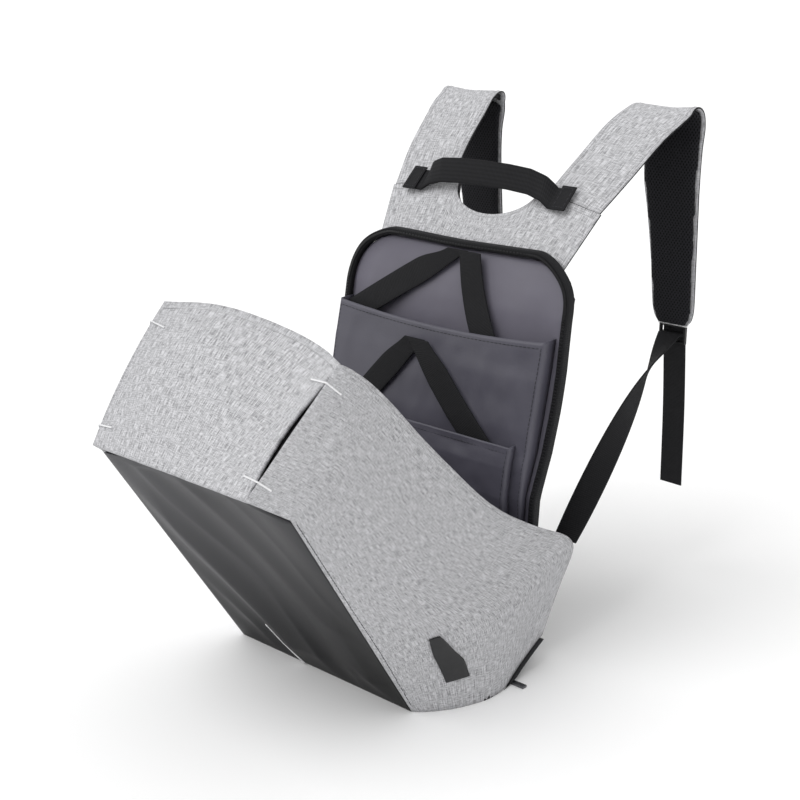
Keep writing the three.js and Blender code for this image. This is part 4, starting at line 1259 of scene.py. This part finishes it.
class BAG_OT_trim(bpy.types.Operator):
    """Adds the cable patch and gives the hard trim its finishes"""

    bl_idname = "bag.trim"
    bl_label = "Trim"

    def execute(self, context):
        def patch(u, v):
            low, high = PATCH_ROWS[0][0], PATCH_ROWS[-1][0]
            height = low + (high - low) * v
            start, end = table_at(PATCH_ROWS, height, 1), table_at(PATCH_ROWS, height, 2)
            point, out = place_on(side_surface, start + (end - start) * u, height)
            crown = 1.6 * math.sin(math.pi * u) ** 0.5 * min(1, 6 * v * (1 - v))
            return point + out * (TRIM_LIFT + crown)

        bm = grid_of(patch, 30, 40, (30, 52))
        thicken(put(bm, "cable_patch_flap", "plastic", ["cable_patch"]), TRIM_WALL)

        def strip(u, v):
            height = STRIP_ROWS[0][0] + (STRIP_ROWS[-1][0] - STRIP_ROWS[0][0]) * v
            place = table_at(STRIP_ROWS, height) + (u - 0.5) * STRIP_WIDTH / (2 * HALF_FRONT)
            point, out = place_on(front_surface, place, height)
            return point + out * (TRIM_WALL + TRIM_LIFT + front_creases(place, height / FRONT_FULL))

        bm = grid_of(strip, 4, 30, (STRIP_WIDTH, 56))
        thicken(put(bm, "bright_strip_tape", "trim", ["bright_strip"]), TRIM_WALL)
        for name, cap_place, ridge_place, side_place in TACK_ROWS:
            for side in ("right", "left"):
                places = [cap_surface(*cap_place), side_surface(*ridge_place), side_surface(*side_place)]
                if side == "left":
                    places = [settled(flip(point)) for point in places]
                away = (places[1] - places[0].lerp(places[2], 0.5)).normalized()
                places = [point + away * TACK_LIFT for point in places]
                stitch_wraps(f"{name}_{side}_thread", places, away, [f"{name}_{side}"])
        finishes = {"back_board": "lining", "adjuster_right": "plastic", "adjuster_left": "plastic",
                    "zip_pull": "metal"}
        for node, finish in finishes.items():
            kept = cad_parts[node]
            kept.data.materials.clear()
            kept.data.materials.append(material(finish))
        return {"FINISHED"}


class BAG_OT_stage(bpy.types.Operator):
    """Sets the floor, the lights and the camera"""

    bl_idname = "bag.stage"
    bl_label = "Stage"

    def execute(self, context):
        scene = context.scene
        bm = bmesh.new()
        bmesh.ops.create_grid(bm, x_segments=1, y_segments=1, size=FLOOR_HALF)
        mesh = bpy.data.meshes.new("floor")
        bm.to_mesh(mesh)
        bm.free()
        mesh.materials.append(plain_finish("floor", (1, 1, 1), 0.9))
        floor = bpy.data.objects.new("floor", mesh)
        scene.collection.objects.link(floor)
        world = bpy.data.worlds.new("studio")
        world.use_nodes = True
        background = world.node_tree.nodes["Background"]
        background.inputs["Color"].default_value = (1, 1, 1, 1)
        background.inputs["Strength"].default_value = ROOM_LIGHT
        scene.world = world
        key = bpy.data.lights.new("key", "SUN")
        key.energy = SUN_LIGHT
        key.angle = math.radians(SUN_SPREAD)
        lamp = bpy.data.objects.new("key", key)
        lamp.rotation_euler = SUN_WAY.to_track_quat("-Z", "Y").to_euler()
        scene.collection.objects.link(lamp)
        lens = bpy.data.cameras.new("camera")
        lens.lens = CAMERA_LENS
        lens.sensor_width = CAMERA_SENSOR
        camera = bpy.data.objects.new("camera", lens)
        camera.location = CAMERA_PLACE
        camera.rotation_euler = [math.radians(turn) for turn in CAMERA_TURN]
        scene.collection.objects.link(camera)
        scene.camera = camera
        scene.view_settings.view_transform = "Standard"
        return {"FINISHED"}


OPERATORS = (BAG_OT_shell, BAG_OT_back, BAG_OT_pockets, BAG_OT_pocket_webbing, BAG_OT_straps, BAG_OT_handle,
             BAG_OT_webbing, BAG_OT_trim, BAG_OT_stage)


class BAG_PT_panel(bpy.types.Panel):
    """Lists the bag's operators in the sidebar"""

    bl_idname = "BAG_PT_panel"
    bl_label = "Clamshell backpack"
    bl_space_type = "VIEW_3D"
    bl_region_type = "UI"
    bl_category = "Bag"

    def draw(self, context):
        for operator in OPERATORS:
            self.layout.operator(operator.bl_idname)


CLASSES = (BagColours, BagSizes, *OPERATORS, BAG_PT_panel)


def register():
    for item in CLASSES:
        bpy.utils.register_class(item)
    bpy.types.Scene.bag_colours = bpy.props.PointerProperty(type=BagColours)
    bpy.types.Scene.bag_sizes = bpy.props.PointerProperty(type=BagSizes)


def unregister():
    del bpy.types.Scene.bag_sizes
    del bpy.types.Scene.bag_colours
    for item in reversed(CLASSES):
        bpy.utils.unregister_class(item)


def main():
    register()
    for operator in OPERATORS:
        group, name = operator.bl_idname.split(".")
        getattr(getattr(bpy.ops, group), name)()


if __name__ == "__main__":
    main()
